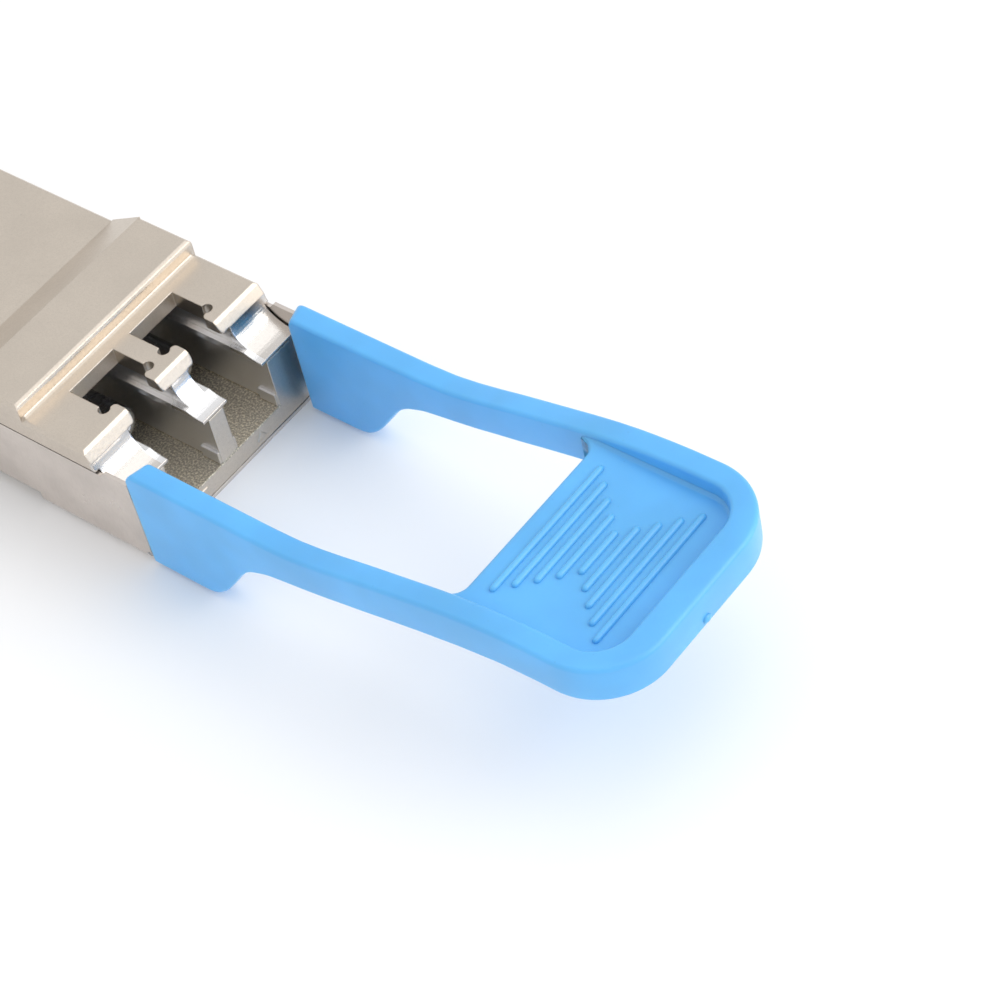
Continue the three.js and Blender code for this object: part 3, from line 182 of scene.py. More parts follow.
class Graph:
    """One material's node graph, ending in a Principled shader."""

    def __init__(self, name: str) -> None:
        """Starts an empty graph.

        Args:
            name: the material's name.
        """
        self.material = bpy.data.materials.new(name)
        self.material.use_nodes = True
        self.tree = self.material.node_tree
        self.tree.nodes.clear()
        place = self.make("ShaderNodeTexCoord", output="Object")
        factor = {0: place, "Scale": 1.0 / MM}
        self.millimetres = self.make("ShaderNodeVectorMath", {"operation": "SCALE"}, factor)

    def make(
        self,
        kind: str,
        settings: Mapping[str, Any] | None = None,
        sockets: Sockets | None = None,
        output: Union[int, str] = 0,
    ) -> Wire:
        """Adds any node: its type, its settings first, then its sockets.

        Args:
            kind: the node's type.
            settings: properties of the node; "stops" holds a colour ramp's stops.
            sockets: values or wires for its inputs, by index or name.
            output: which output to return.

        Returns:
            The chosen output as a wire.
        """
        node = self.tree.nodes.new(kind)
        for key, value in (settings or {}).items():
            if key == "stops":
                ramp = node.color_ramp
                while len(ramp.elements) < len(value):
                    ramp.elements.new(0.5)
                for element, (position, colour) in zip(ramp.elements, value):
                    element.position = position
                    element.color = (*colour, 1.0)
            else:
                setattr(node, key, value)
        for key, value in (sockets or {}).items():
            target = node.inputs[key]
            if isinstance(value, Wire):
                self.tree.links.new(value.socket, target)
            elif isinstance(value, (int, float)):
                target.default_value = float(value)
            else:
                missing = len(target.default_value) - len(value)
                target.default_value = list(value) + [1.0] * missing
        return Wire(self, node.outputs[output])

    def axes(self) -> tuple[Wire, Wire, Wire]:
        """The three coordinates in millimetres.

        Returns:
            x from the port face, y from the middle plane and z from the floor.
        """
        split = {"Vector": self.millimetres}
        x, y, z = (self.make("ShaderNodeSeparateXYZ", {}, split, axis) for axis in "XYZ")
        return x - PORT_FACE, y, z

    def noise(
        self, per_mm: float, detail: float = 3.0, stretch: Sequence[float] | None = None
    ) -> Wire:
        """Fractal noise from zero to one.

        Args:
            per_mm: how many cells to the millimetre.
            detail: octaves.
            stretch: factors for the three axes, for brushed or drawn patterns.

        Returns:
            The noise value.
        """
        where = self.millimetres
        if stretch:
            factors = {0: where, 1: stretch}
            where = self.make("ShaderNodeVectorMath", {"operation": "MULTIPLY"}, factors)
        sockets = {"Vector": where, "Scale": per_mm, "Detail": detail}
        return self.make("ShaderNodeTexNoise", {}, sockets)

    def spots(self, per_mm: float, span: tuple[float, float]) -> Wire:
        """Small soft spots, one in each cell.

        Args:
            per_mm: how many cells to the millimetre.
            span: the distances at which a spot begins and stops to fade, as shares of a cell.

        Returns:
            One in the spots, zero between them.
        """
        sockets = {"Vector": self.millimetres, "Scale": per_mm}
        return 1.0 - self.make("ShaderNodeTexVoronoi", {}, sockets).ease(*span)

    def blend(self, share: Value, first: Value, second: Value) -> Wire:
        """A colour between two colours.

        Args:
            share: zero for the first colour, one for the second.
            first: the first colour.
            second: the second colour.

        Returns:
            The mixed colour.
        """
        return self.make("ShaderNodeMix", {"data_type": "RGBA"}, {0: share, 6: first, 7: second}, 2)

    def relief(self, height: Wire, depth_mm: float, edge_mm: float = 0.0) -> Wire:
        """Surface normal from a height pattern, over edges that are softly rounded.

        Args:
            height: the pattern, from zero to one.
            depth_mm: how deep the pattern is.
            edge_mm: radius of the rounded edges, or zero for none.

        Returns:
            The normal.
        """
        sockets = {"Height": height, "Distance": depth_mm * MM, "Strength": 1.0}
        if edge_mm:
            radius = {"Radius": edge_mm * MM}
            sockets["Normal"] = self.make("ShaderNodeBevel", {"samples": BEVEL_SAMPLES}, radius)
        return self.make("ShaderNodeBump", {}, sockets)

    def surface(self, sockets: Sockets) -> bpy.types.Material:
        """Closes the graph with a Principled shader.

        Args:
            sockets: values and wires for the shader.

        Returns:
            The finished material.
        """
        shader = self.make("ShaderNodeBsdfPrincipled", {}, sockets)
        end = self.tree.nodes.new("ShaderNodeOutputMaterial")
        self.tree.links.new(shader.socket, end.inputs["Surface"])
        return self.material


# ---- finishes ---------------------------------------------------------------------------


def toned(colour: Colour, share: float) -> Colour:
    """A colour made lighter or darker.

    Args:
        colour: the colour to change.
        share: the factor on each channel.

    Returns:
        The changed colour.
    """
    return tuple(min(1.0, channel * share) for channel in colour)


@dataclass(frozen=True)
class Zone:
    """A box over the middle plane where a finish differs, in millimetres from the port face."""

    back: float
    front: float
    half_width: float
    low: float
    high: float

    def mask(self, graph: Graph) -> Wire:
        """The box as a mask.

        Args:
            graph: the graph to build in.

        Returns:
            One inside the box, zero outside.
        """
        x, y, z = graph.axes()
        beside = y.absolute() < self.half_width
        return (x > self.back) * (x < self.front) * beside * (z > self.low) * (z < self.high)


@dataclass(frozen=True)
class Shade:
    """How a pattern darkens a colour: its span, its strength and the factor on the colour."""

    low: float
    high: float
    share: float
    factor: float

    def over(self, graph: Graph, pattern: Wire, tone: Wire, colour: Colour) -> Wire:
        """Lays the pattern over a tone.

        Args:
            graph: the graph to build in.
            pattern: the pattern, eased from low to high.
            tone: what lies below.
            colour: the colour that the factor is applied to.

        Returns:
            The darkened tone.
        """
        share = pattern.ease(self.low, self.high) * self.share
        return graph.blend(share, tone, toned(colour, self.factor))


@dataclass(frozen=True)
class Casting:
    """Nickel-plated die casting: blasted grain, broad tone drift, sparse pits, rubbed edges."""

    name: str
    colour: Colour
    roughness: float
    grain_per_mm: float = 4.2
    grain_depth_mm: float = 0.012
    grain_shade: Shade = Shade(0.3, 0.7, 0.22, 0.84)
    fine_ratio: float = 2.6
    fine_shade: Shade = Shade(0.45, 0.7, 0.40, 0.80)
    drift_per_mm: float = 0.22
    drift_share: float = 0.03
    edge_mm: float = 0.14
    pit_per_mm: float = 0.6
    pit_span: tuple[float, float] = (0.02, 0.05)
    pit_share: float = 0.35
    pit_tone: float = 0.5
    # Port floors: painted shade in the port recess, darker and browner, with painted glints where
    # the sparkle noise is high; their bumps and roughness are also coarser.
    port_floor: Zone = Zone(-12.5, FAR, 5.6, 1.9, 2.15)
    port_floor_painted_shade: Colour = (0.42, 0.375, 0.30)
    port_floor_painted_glint: Colour = (0.86, 0.79, 0.64)
    port_floor_shade_share: float = 0.9
    spark_per_mm: float = 6.5
    spark_span: tuple[float, float] = (0.40, 0.68)
    # Front slopes: a lighter, more neutral colour that is a painted highlight; they are also
    # smoother, with lower roughness and weaker grain.
    slopes: Zone = Zone(-2.9, FAR, FAR, 6.7, 8.74)
    slope_painted_highlight: Colour = (0.68, 0.66, 0.64)
    slope_highlight_share: float = 0.7
    # Port walls: painted light, a lighter neutral colour standing in for light bounced into the
    # port.
    port_walls: Zone = Zone(-12.45, -0.1, 5.52, 2.05, 8.25)
    wall_painted_light: Colour = (0.84, 0.84, 0.85)
    wall_light_share: float = 0.8

    def build(self) -> bpy.types.Material:
        """Makes the material.

        Returns:
            A metal whose grain and roughness vary, darker in its pits, with painted shade and
            painted glints on the coarser port floors, painted light on the port walls and a painted
            highlight on the smoother front slopes.
        """
        graph = Graph(self.name)
        grain = graph.noise(self.grain_per_mm, 4.0)
        fine = graph.noise(self.grain_per_mm * self.fine_ratio, 2.0)
        drift = graph.noise(self.drift_per_mm, 3.0)
        # Sparkle: fine noise for the port floors' painted glints and their coarser bumps.
        sparkle = graph.noise(self.spark_per_mm, 5.0).ease(*self.spark_span)
        pits = graph.spots(self.pit_per_mm, self.pit_span)
        floor, slope, inside = (
            zone.mask(graph) for zone in (self.port_floor, self.slopes, self.port_walls)
        )
        dull, bright = (toned(self.colour, 1.0 + sign * self.drift_share) for sign in (-1, 1))
        tone = graph.blend(drift.ease(0.3, 0.7), dull, bright)
        tone = self.grain_shade.over(graph, grain, tone, self.colour)
        tone = self.fine_shade.over(graph, fine, tone, self.colour)
        # Painted highlight on the front slopes.
        tone = graph.blend(slope * self.slope_highlight_share, tone, self.slope_painted_highlight)
        # Painted light on the port walls.
        tone = graph.blend(inside * self.wall_light_share, tone, self.wall_painted_light)
        tone = graph.blend(pits * self.pit_share, tone, toned(self.colour, self.pit_tone))
        # Port floor colour: painted shade with painted glints.
        floor_shade_and_glints = graph.blend(sparkle, self.port_floor_painted_shade, self.port_floor_painted_glint)
        rough = self.roughness + (drift - 0.5) * 0.08 + (grain - 0.5) * 0.20
        height = grain * (0.7 - slope * 0.4) + fine * 0.35 - pits * 0.6 + floor * sparkle * 1.2
        return graph.surface({
            "Base Color": graph.blend(floor * self.port_floor_shade_share, tone, floor_shade_and_glints),
            "Metallic": 1.0,
            "Roughness": rough + floor * 0.12 - slope * 0.10,
            "Normal": graph.relief(height, self.grain_depth_mm, self.edge_mm),
        })


@dataclass(frozen=True)
class Sheet:
    """Plated metal sheet or turned metal, with fine lines along one direction."""

    name: str
    colour: Colour
    roughness: float
    stretch: tuple[float, float, float] = (0.08, 1.0, 1.0)
    lines_per_mm: float = 9.0
    line_depth_mm: float = 0.003
    line_shade: Shade = Shade(0.4, 0.7, 0.25, 0.75)
    smudge_per_mm: float = 0.3
    smudge_tones: tuple[float, float] = (1.03, 0.9)
    edge_mm: float = 0.1

    def build(self) -> bpy.types.Material:
        """Makes the material.

        Returns:
            A metal with drawn lines, faint handling smudges and rounded edges.
        """
        graph = Graph(self.name)
        lines = graph.noise(self.lines_per_mm, 3.0, self.stretch)
        smudge = graph.noise(self.smudge_per_mm, 4.0)
        clean, smudged = (toned(self.colour, factor) for factor in self.smudge_tones)
        tone = graph.blend(smudge.ease(0.3, 0.75), clean, smudged)
        tone = self.line_shade.over(graph, lines, tone, self.colour)
        rough = self.roughness + (smudge - 0.5) * 0.18 + (lines - 0.5) * 0.12
        return graph.surface({
            "Base Color": tone,
            "Metallic": 1.0,
            "Roughness": rough,
            "Normal": graph.relief(lines, self.line_depth_mm, self.edge_mm),
        })


@dataclass(frozen=True)
class Moulded:
    """Moulded plastic, rubber, ceramic or epoxy with a fine skin texture."""

    name: str
    colour: Colour
    roughness: float
    skin_per_mm: float = 6.0
    skin_depth_mm: float = 0.003
    wave_per_mm: float = 0.18
    wave_ratio: float = 3.0
    drift_share: float = 0.06
    speck_per_mm: float = 0.9
    speck_span: tuple[float, float] = (0.03, 0.08)
    speck_share: float = 0.25
    speck_tone: float = 0.7
    coat: float = 0.0
    coat_roughness: float = 0.25
    under_mm: float = 0.0
    under_weight: float = 0.0
    under_reach: Colour = (0.35, 0.7, 1.0)
    edge_mm: float = 0.08

    def build(self) -> bpy.types.Material:
        """Makes the material.

        Returns:
            A moulded skin with slight waviness, tone drift and, where set, light that enters it.
        """
        graph = Graph(self.name)
        skin = graph.noise(self.skin_per_mm, 3.0)
        wave = graph.noise(self.wave_per_mm, 2.0)
        specks = graph.spots(self.speck_per_mm, self.speck_span)
        low, high = (toned(self.colour, 1.0 + sign * self.drift_share) for sign in (-1, 1))
        tone = graph.blend(wave.ease(0.3, 0.7), low, high)
        speck_colour = toned(self.colour, self.speck_tone)
        tone = graph.blend(specks * self.speck_share, tone, speck_colour)
        rough = self.roughness + (skin - 0.5) * 0.14 + (wave - 0.5) * 0.10
        height = skin + wave * self.wave_ratio
        sockets = {
            "Base Color": tone,
            "Roughness": rough,
            "Coat Weight": self.coat,
            "Coat Roughness": self.coat_roughness,
            "Normal": graph.relief(height, self.skin_depth_mm, self.edge_mm),
        }
        if self.under_weight:
            sockets["Subsurface Weight"] = self.under_weight
            sockets["Subsurface Radius"] = self.under_reach
            sockets["Subsurface Scale"] = self.under_mm * MM
        return graph.surface(sockets)


@dataclass(frozen=True)
class Laminate:
    """Glass-epoxy board under solder mask, with a woven show-through and buried tracks."""

    name: str
    colour: Colour
    track_colour: Colour
    roughness: float = 0.34
    weave_per_mm: float = 2.4
    weave_share: float = 0.12
    weave_tone: float = 0.7
    track_pitch_mm: float = 0.8
    track_span: tuple[float, float] = (0.45, 0.65)
    track_share: float = 0.8
    track_start_mm: float = -70.0
    bend_per_mm: float = 0.16
    bend_mm: float = 3.0
    relief_mm: float = 0.01
    edge_mm: float = 0.05
    coat: float = 0.3
    coat_roughness: float = 0.2

    def build(self) -> bpy.types.Material:
        """Makes the material.

        Returns:
            Solder mask that is lighter over the tracks and faintly woven between them.
        """
        graph = Graph(self.name)
        x, y, _ = graph.axes()
        squares = {"Vector": graph.millimetres, "Scale": self.weave_per_mm}
        weave = graph.make("ShaderNodeTexChecker", {}, squares, "Fac")
        bend = graph.noise(self.bend_per_mm, 1.0) * self.bend_mm
        phase = (y + bend) * (2.0 * math.pi / self.track_pitch_mm)
        tracks = phase.sine().ease(*self.track_span) * (x > self.track_start_mm)
        dust = graph.noise(3.0, 4.0)
        woven = toned(self.colour, self.weave_tone)
        tone = graph.blend(weave * self.weave_share, self.colour, woven)
        tone = graph.blend(tracks * self.track_share, tone, self.track_colour)
        rough = self.roughness + (dust - 0.5) * 0.2
        return graph.surface({
            "Base Color": tone,
            "Roughness": rough,
            "Coat Weight": self.coat,
            "Coat Roughness": self.coat_roughness,
            "Normal": graph.relief(tracks + dust * 0.2, self.relief_mm, self.edge_mm),
        })


CAST_NICKEL = Casting("cast_nickel", (0.635, 0.565, 0.485), 0.34)
LATCH_SHEET = Sheet(
    "latch_sheet", (0.69, 0.63, 0.58), 0.32,
    stretch=(1.0, 1.0, 0.25), lines_per_mm=7.0, line_depth_mm=0.001,
    line_shade=Shade(0.4, 0.7, 0.12, 0.75),
)
TURNED_STEEL = Sheet(
    "turned_steel", (0.56, 0.56, 0.57), 0.26, stretch=(1.0, 0.15, 0.15), lines_per_mm=10.0,
)
SPRING_WIRE = Sheet(
    "spring_wire", (0.58, 0.58, 0.60), 0.25, stretch=(1.0, 0.4, 0.4), edge_mm=0.03,
)
GOLD_PLATE = Sheet("gold_plate", (0.83, 0.57, 0.20), 0.24, lines_per_mm=12.0, edge_mm=0.03)
BLUE_TAB = Moulded(
    "blue_tab", (0.105, 0.44, 0.85), 0.36,
    coat=0.2, under_mm=1.2, under_weight=0.2, edge_mm=0.0,
)
CERAMIC = Moulded(
    "zirconia", (0.86, 0.84, 0.79), 0.16, skin_depth_mm=0.001, drift_share=0.02, coat=0.4,
)
POLYIMIDE = Moulded(
    "polyimide_film", (0.52, 0.20, 0.03), 0.28, skin_depth_mm=0.002, coat=0.3, edge_mm=0.03,
)
EPOXY = Moulded(
    "chip_epoxy", (0.018, 0.018, 0.020), 0.50, skin_per_mm=9.0, drift_share=0.15, edge_mm=0.06,
)
SILICONE = Moulded(
    "gap_silicone", (0.28, 0.29, 0.31), 0.68, skin_per_mm=3.5, skin_depth_mm=0.01,
)
FERRITE = Moulded(
    "ferrite", (0.045, 0.045, 0.05), 0.60,
    skin_per_mm=7.0, skin_depth_mm=0.006, drift_share=0.2,
)
BOARD = Laminate("solder_mask", (0.010, 0.085, 0.035), (0.022, 0.16, 0.06))


# ---- shape kit --------------------------------------------------------------------------


def grid_faces(rows: int, columns: int, wrap: bool) -> np.ndarray:
    """Quads between neighbouring points of a grid.

    Args:
        rows: points along the first parameter.
        columns: points along the second parameter.
        wrap: whether the second parameter closes on itself.

    Returns:
        One row of four point numbers for each quad.
    """
    numbers = np.arange(rows * columns).reshape(rows, columns)
    if wrap:
        numbers = np.concatenate([numbers, numbers[:, :1]], axis=1)
    corners = (numbers[:-1, :-1], numbers[:-1, 1:], numbers[1:, 1:], numbers[1:, :-1])
    return np.stack(corners, axis=-1).reshape(-1, 4)


@dataclass
class Skin:
    """Points and faces of one or more closed shells, in millimetres from the port face."""

    points: np.ndarray
    faces: list[list[int]]

    def volume(self) -> float:
        """Signed volume, summed over the triangles that fan out from each face's first corner.

        Returns:
            The volume in cubic millimetres, positive when the faces look outwards.
        """
        total = 0.0
        for corners in (3, 4):
            rows = np.array([face for face in self.faces if len(face) == corners], int)
            if not len(rows):
                continue
            for last in range(2, corners):
                fan = (self.points[rows[:, number]] for number in (0, last - 1, last))
                first, second, third = fan
                total += float(np.einsum("ij,ij->", first, np.cross(second, third)))
        return total / 6

    def outwards(self) -> "Skin":
        """Turns the faces over if they look inwards.

        Returns:
            The skin with its faces outwards.
        """
        if self.volume() >= 0:
            return self
        return Skin(self.points, [face[::-1] for face in self.faces])

    def joined(self, other: "Skin") -> "Skin":
        """Both skins as one, kept as separate shells.

        Args:
            other: the skin to add.

        Returns:
            The skin with both shells.
        """
        shifted = [[number + len(self.points) for number in face] for face in other.faces]
        return Skin(np.concatenate([self.points, other.points]), self.faces + shifted)

    def piece(self, name: str, body: Body, slot: Slot, smooth: bool = True) -> bpy.types.Object:
        """Puts the skin into a mesh in the row frame and lets it ride on a body.

        Args:
            name: the piece's name.
            body: the body it rides on.
            slot: not used.
            smooth: whether its faces are shaded smooth.

        Returns:
            The new object, at the origin.
        """
        placed = (self.points + np.array([PORT_FACE, 0.0, 0.0])) * MM
        mesh = bpy.data.meshes.new(name)
        mesh.from_pydata(placed.tolist(), [], self.faces)
        mesh.polygons.foreach_set("use_smooth", np.full(len(mesh.polygons), smooth))
        mesh.update()
        made = bpy.data.objects.new(name, mesh)
        bpy.context.scene.collection.objects.link(made)
        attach(made, body.value)
        return made


def capped_rings(rings: np.ndarray) -> Skin:
    """A tube through closed rings, with a pole in the middle of each end.

    Args:
        rings: points as an array of ring, point on the ring, coordinate.

    Returns:
        The closed skin, facing outwards.
    """
    count, around = rings.shape[:2]
    poles = np.stack([rings[0].mean(axis=0), rings[-1].mean(axis=0)])
    points = np.concatenate([rings.reshape(-1, 3), poles])
    here = np.arange(around)
    following = np.roll(here, -1)
    last = (count - 1) * around
    starts = np.stack([np.full(around, count * around), following, here], axis=1)
    ends = np.stack([np.full(around, count * around + 1), last + here, last + following], axis=1)
    faces = grid_faces(count, around, wrap=True).tolist() + starts.tolist() + ends.tolist()
    return Skin(points, faces).outwards()


def rounded_section(
    half_width: np.ndarray, half_height: np.ndarray, radius: np.ndarray, steps: int = 6
) -> np.ndarray:
    """Rounded rectangles, one for each station: a quarter circle about each corner's centre.

    Args:
        half_width: half the width at each station.
        half_height: half the height at each station.
        radius: the corner radius at each station.
        steps: points on each corner.

    Returns:
        An array of station, point, (across, up), anticlockwise from the right.
    """
    quarter = np.linspace(0.0, math.pi / 2, steps)
    angles = (quarter[None, :] + np.arange(4)[:, None] * math.pi / 2).reshape(-1)
    sign_across = np.repeat([1.0, -1.0, -1.0, 1.0], steps)
    sign_up = np.repeat([1.0, 1.0, -1.0, -1.0], steps)
    radius = np.minimum(radius, np.minimum(half_width, half_height) * CORNER_SHARE)
    across = (half_width - radius)[:, None] * sign_across + radius[:, None] * np.cos(angles)
    up = (half_height - radius)[:, None] * sign_up + radius[:, None] * np.sin(angles)
    return np.stack([across, up], axis=-1)


def shrink(distance: np.ndarray, radius: float) -> np.ndarray:
    """How far a face is set in near a rounded edge: the radius minus the circle's height.

    Args:
        distance: how far each station is from the end.
        radius: the radius of the rounded edge.

    Returns:
        The set-in at each station, zero beyond the radius.
    """
    inward = np.clip(radius - distance, 0.0, radius)
    return radius - np.sqrt(radius**2 - inward**2)


def plate(upper: np.ndarray, lower: np.ndarray) -> Skin:
    """A closed plate between two grids of the same shape, joined round their borders.

    Args:
        upper: the upper face's points, as rows along x and columns along y.
        lower: the lower face's points.

    Returns:
        The closed skin.
    """
    rows, columns = upper.shape[:2]
    offset = rows * columns
    top_faces = grid_faces(rows, columns, wrap=False)[:, ::-1]
    low_faces = grid_faces(rows, columns, wrap=False) + offset
    numbers = np.arange(rows * columns).reshape(rows, columns)
    border = np.concatenate(
        [numbers[0, :-1], numbers[:-1, -1], numbers[-1, :0:-1], numbers[:0:-1, 0]]
    )
    following = np.roll(border, -1)
    walls = np.stack([border, following, following + offset, border + offset], axis=1)
    points = np.concatenate([upper.reshape(-1, 3), lower.reshape(-1, 3)])
    faces = np.concatenate([top_faces, low_faces, walls[:, ::-1]])
    return Skin(points, faces.tolist()).outwards()


# ---- pull tab ---------------------------------------------------------------------------


@dataclass
class PullTab:
    """The moulded loop: two arms on tall feet, a rounded tip and a ribbed thumb pad.

    All lengths are in millimetres, and places along x count from the port face.
    """

    back: float = 0.5
    slant: float = 0.55
    slant_reach: float = 2.5
    slant_power: float = 1.2
    tip: float = TAB_TIP
    outer: float = 9.2
    inner: float = 7.42
    outer_corner: float = 5.0
    inner_corner: float = 2.6
    inner_tip: float = 40.2
    edge: float = 0.32
    end_edge: float = 0.12
    heel: float = 0.8
    top_places: tuple[float, ...] = (
        0, 12.5, 15, 17, 19, 21, 23, 25, 27, 29, 31, 33, 35, 37, 43,
    )
    top_heights: tuple[float, ...] = (
        9.6, 9.6, 9.72, 10.05, 10.5, 11.0, 11.45, 11.9, 12.35, 12.75, 13.05, 13.25, 13.37,
        13.4, 13.4,
    )
    low_places: tuple[float, ...] = (
        0, 5.6, 6.2, 6.7, 7.2, 7.8, 8.3, 9.15, 9.9, 10.8, 12.5, 14.1, 15.6, 17.7, 19.2, 21.3,
        23.6, 26.3, 29.6, 33, 36, 43,
    )
    low_heights: tuple[float, ...] = (
        0.35, 0.35, 0.45, 0.72, 1.15, 1.8, 2.5, 3.65, 4.75, 5.5, 6.2, 6.5, 6.75, 7.15, 7.5,
        7.95, 8.5, 9.1, 9.75, 10.25, 10.4, 10.4,
    )
    smooth_reach: float = 0.9
    smooth_steps: int = 13
    loop_front: float = 28.3
    loop_corner: float = 1.3
    pad_top: float = 12.05
    pad_under: float = 10.35
    pad_fillet: float = 0.2
    pad_front_edge: float = 0.45
    pad_hidden: float = 0.5
    pad_below_rim: float = 0.15
    pad_above_low: float = 0.02
    pad_grid: tuple[int, int] = (90, 96)
    gate_place: tuple[float, float] = (-0.21, 11.09)
    gate_half: tuple[float, float, float] = (0.22, 0.38, 0.30)
    gate_grid: tuple[int, int] = (10, 16)
    gate_pole: float = 0.05
    rib_count: int = 9
    rib_first: float = 30.0
    rib_pitch: float = 1.0
    rib_longest: float = 5.9
    rib_step: float = 0.98
    rib_half_width: float = 0.25
    rib_height: float = 0.27
    rib_bow: float = 0.25
    rib_grid: tuple[int, int] = (26, 14)
    step: float = 0.16
    lead: float = 0.9
    lead_steps: int = 14
    turn_steps: int = 26
    tip_steps: int = 22

    def heights(self, x: np.ndarray) -> tuple[np.ndarray, np.ndarray]:
        """Upper and lower faces at each x: runs between the listed places, smoothed over.

        Args:
            x: places along the tab.

        Returns:
            The heights of the upper and of the lower face.
        """
        reach = np.linspace(-self.smooth_reach, self.smooth_reach, self.smooth_steps)
        weight = np.cos(reach / self.smooth_reach * math.pi / 2) ** 2
        weight = weight / weight.sum()
        spread = x[:, None] + reach[None, :]
        upper = np.interp(spread, self.top_places, self.top_heights) @ weight
        lower = np.interp(spread, self.low_places, self.low_heights) @ weight
        return upper, lower

    def outline(
        self, along: np.ndarray, centre: tuple[float, float], radius: float, side: float
    ) -> np.ndarray:
        """One outline of the rim in plan: beside the arm, round the corner, across the tip.

        The first half ends on the middle plane and the second half is the first one mirrored.

        Args:
            along: the places along x of the straight part.
            centre: the corner's centre.
            radius: the corner's radius.
            side: the straight part's distance from the middle plane.

        Returns:
            The points as x and y.
        """
        turn = np.linspace(0.0, math.pi / 2, self.turn_steps)
        across = np.linspace(1.0, 0.0, self.tip_steps)[1:]
        x, y = centre
        half = np.concatenate([
            np.stack([along, np.full_like(along, side)], axis=1),
            np.stack([x + radius * np.sin(turn), y + radius * np.cos(turn)], axis=1),
            np.stack([np.full_like(across, x + radius), y * across], axis=1),
        ])
        return np.concatenate([half, half[-2::-1] * np.array([1.0, -1.0])])

    def paths(self) -> tuple[np.ndarray, np.ndarray]:
        """The rim's two outlines in plan, matched point by point, from one foot to the other.

        The inner one leans forwards at the feet and ends its straight part further on.

        Returns:
            The outer and the inner points as x and y.
        """
        ease_in = 1.0 - np.cos(np.linspace(0.0, math.pi / 2, self.lead_steps))
        lead = self.back + self.lead * ease_in
        corner_x = self.tip - self.outer_corner
        run = np.arange(lead[-1] + self.step, corner_x, self.step)
        along = np.concatenate([lead, run])
        inner_x = self.inner_tip - self.inner_corner
        share = np.clip((along - self.loop_front) / (corner_x - self.loop_front), 0.0, 1.0)
        from_foot = np.clip(1.0 - (along - self.back) / self.slant_reach, 0.0, 1.0)
        slanted = along + self.slant * from_foot**self.slant_power + (inner_x - corner_x) * share
        outer_centre = (corner_x, self.outer - self.outer_corner)
        inner_centre = (inner_x, self.inner - self.inner_corner)
        return (
            self.outline(along, outer_centre, self.outer_corner, self.outer),
            self.outline(slanted, inner_centre, self.inner_corner, self.inner),
        )

    def rim(self) -> Skin:
        """Arms and tip: a rounded rectangle carried along the middle of the two outlines.

        At each station the section's width joins the outlines and its height joins the lower
        and upper faces; near each back end it shrinks by a quarter circle.

        Returns:
            The closed rim.
        """
        outer, inner = self.paths()
        middle = (outer + inner) / 2
        across = outer - inner
        width = np.linalg.norm(across, axis=1)
        across = across / width[:, None]
        upper, lower = self.heights(middle[:, 0])
        from_end = np.abs(outer[:, 0] - self.back)
        upper = upper - shrink(from_end, self.heel)
        lower = lower + shrink(from_end, self.end_edge * 1.6)
        half_width = width / 2 - shrink(from_end, self.end_edge)
        half_height = (upper - lower) / 2
        section = rounded_section(half_width, half_height, np.full(len(width), self.edge))
        plan = middle[:, None, :] + section[..., :1] * across[:, None, :]
        height = ((upper + lower) / 2)[:, None] + section[..., 1]
        return capped_rings(np.concatenate([plan, height[..., None]], axis=-1))

    def pad(self) -> Skin:
        """Thumb pad: a plate between two height fields over one grid.

        The grid's front edge curves back beside the arms, its far corners follow the rim, and
        its upper face rises by a quarter circle where it meets the rim.

        Returns:
            The closed plate.
        """
        rows, columns = self.pad_grid
        share = np.linspace(0.0, 1.0, rows)[:, None]
        sideways = np.linspace(-1.0, 1.0, columns)[None, :]
        reach = self.inner + self.pad_hidden
        y_full = reach * sideways
        corner_start = self.inner - self.loop_corner
        beside = np.clip(np.abs(y_full) - corner_start, 0.0, self.loop_corner)
        front = self.loop_front - (self.loop_corner - np.sqrt(self.loop_corner**2 - beside**2))
        end = self.inner_tip + self.pad_hidden
        x = front + (end - front) * share
        radius = self.inner_corner + self.pad_hidden
        turned = np.clip(x - (end - radius), 0.0, radius)
        limit = reach - radius + np.sqrt(radius**2 - turned**2 + 1e-9)
        y = limit * sideways
        corner_x = self.inner_tip - self.inner_corner
        corner_y = self.inner - self.inner_corner
        past_x = np.clip(x - corner_x, 0.0, None)
        past_y = np.clip(np.abs(y) - corner_y, 0.0, None)
        straight = np.minimum(self.inner - np.abs(y), self.inner_tip - x)
        bend = self.inner_corner - np.hypot(past_x, past_y)
        wall = np.where((past_x > 0) & (past_y > 0), bend, straight)
        rise = shrink(np.clip(wall, 0.0, None), self.pad_fillet)
        from_front = x - front
        soft = shrink(from_front, self.pad_front_edge)
        arm_top, arm_low = self.heights(x.reshape(-1))
        fade = np.clip(from_front - self.pad_front_edge, 0.0, 1.0)
        room = arm_top.reshape(x.shape) - self.pad_top - self.pad_below_rim
        most = np.clip(room, -0.5, None)
        top = self.pad_top + np.minimum(rise * fade, most) - soft
        arm_under = arm_low.reshape(x.shape) + self.pad_above_low
        bottom = np.minimum(arm_under, self.pad_under) + soft
        upper = np.stack([x, y, top], axis=-1)
        lower = np.stack([x, y, bottom], axis=-1)
        return plate(upper, lower)

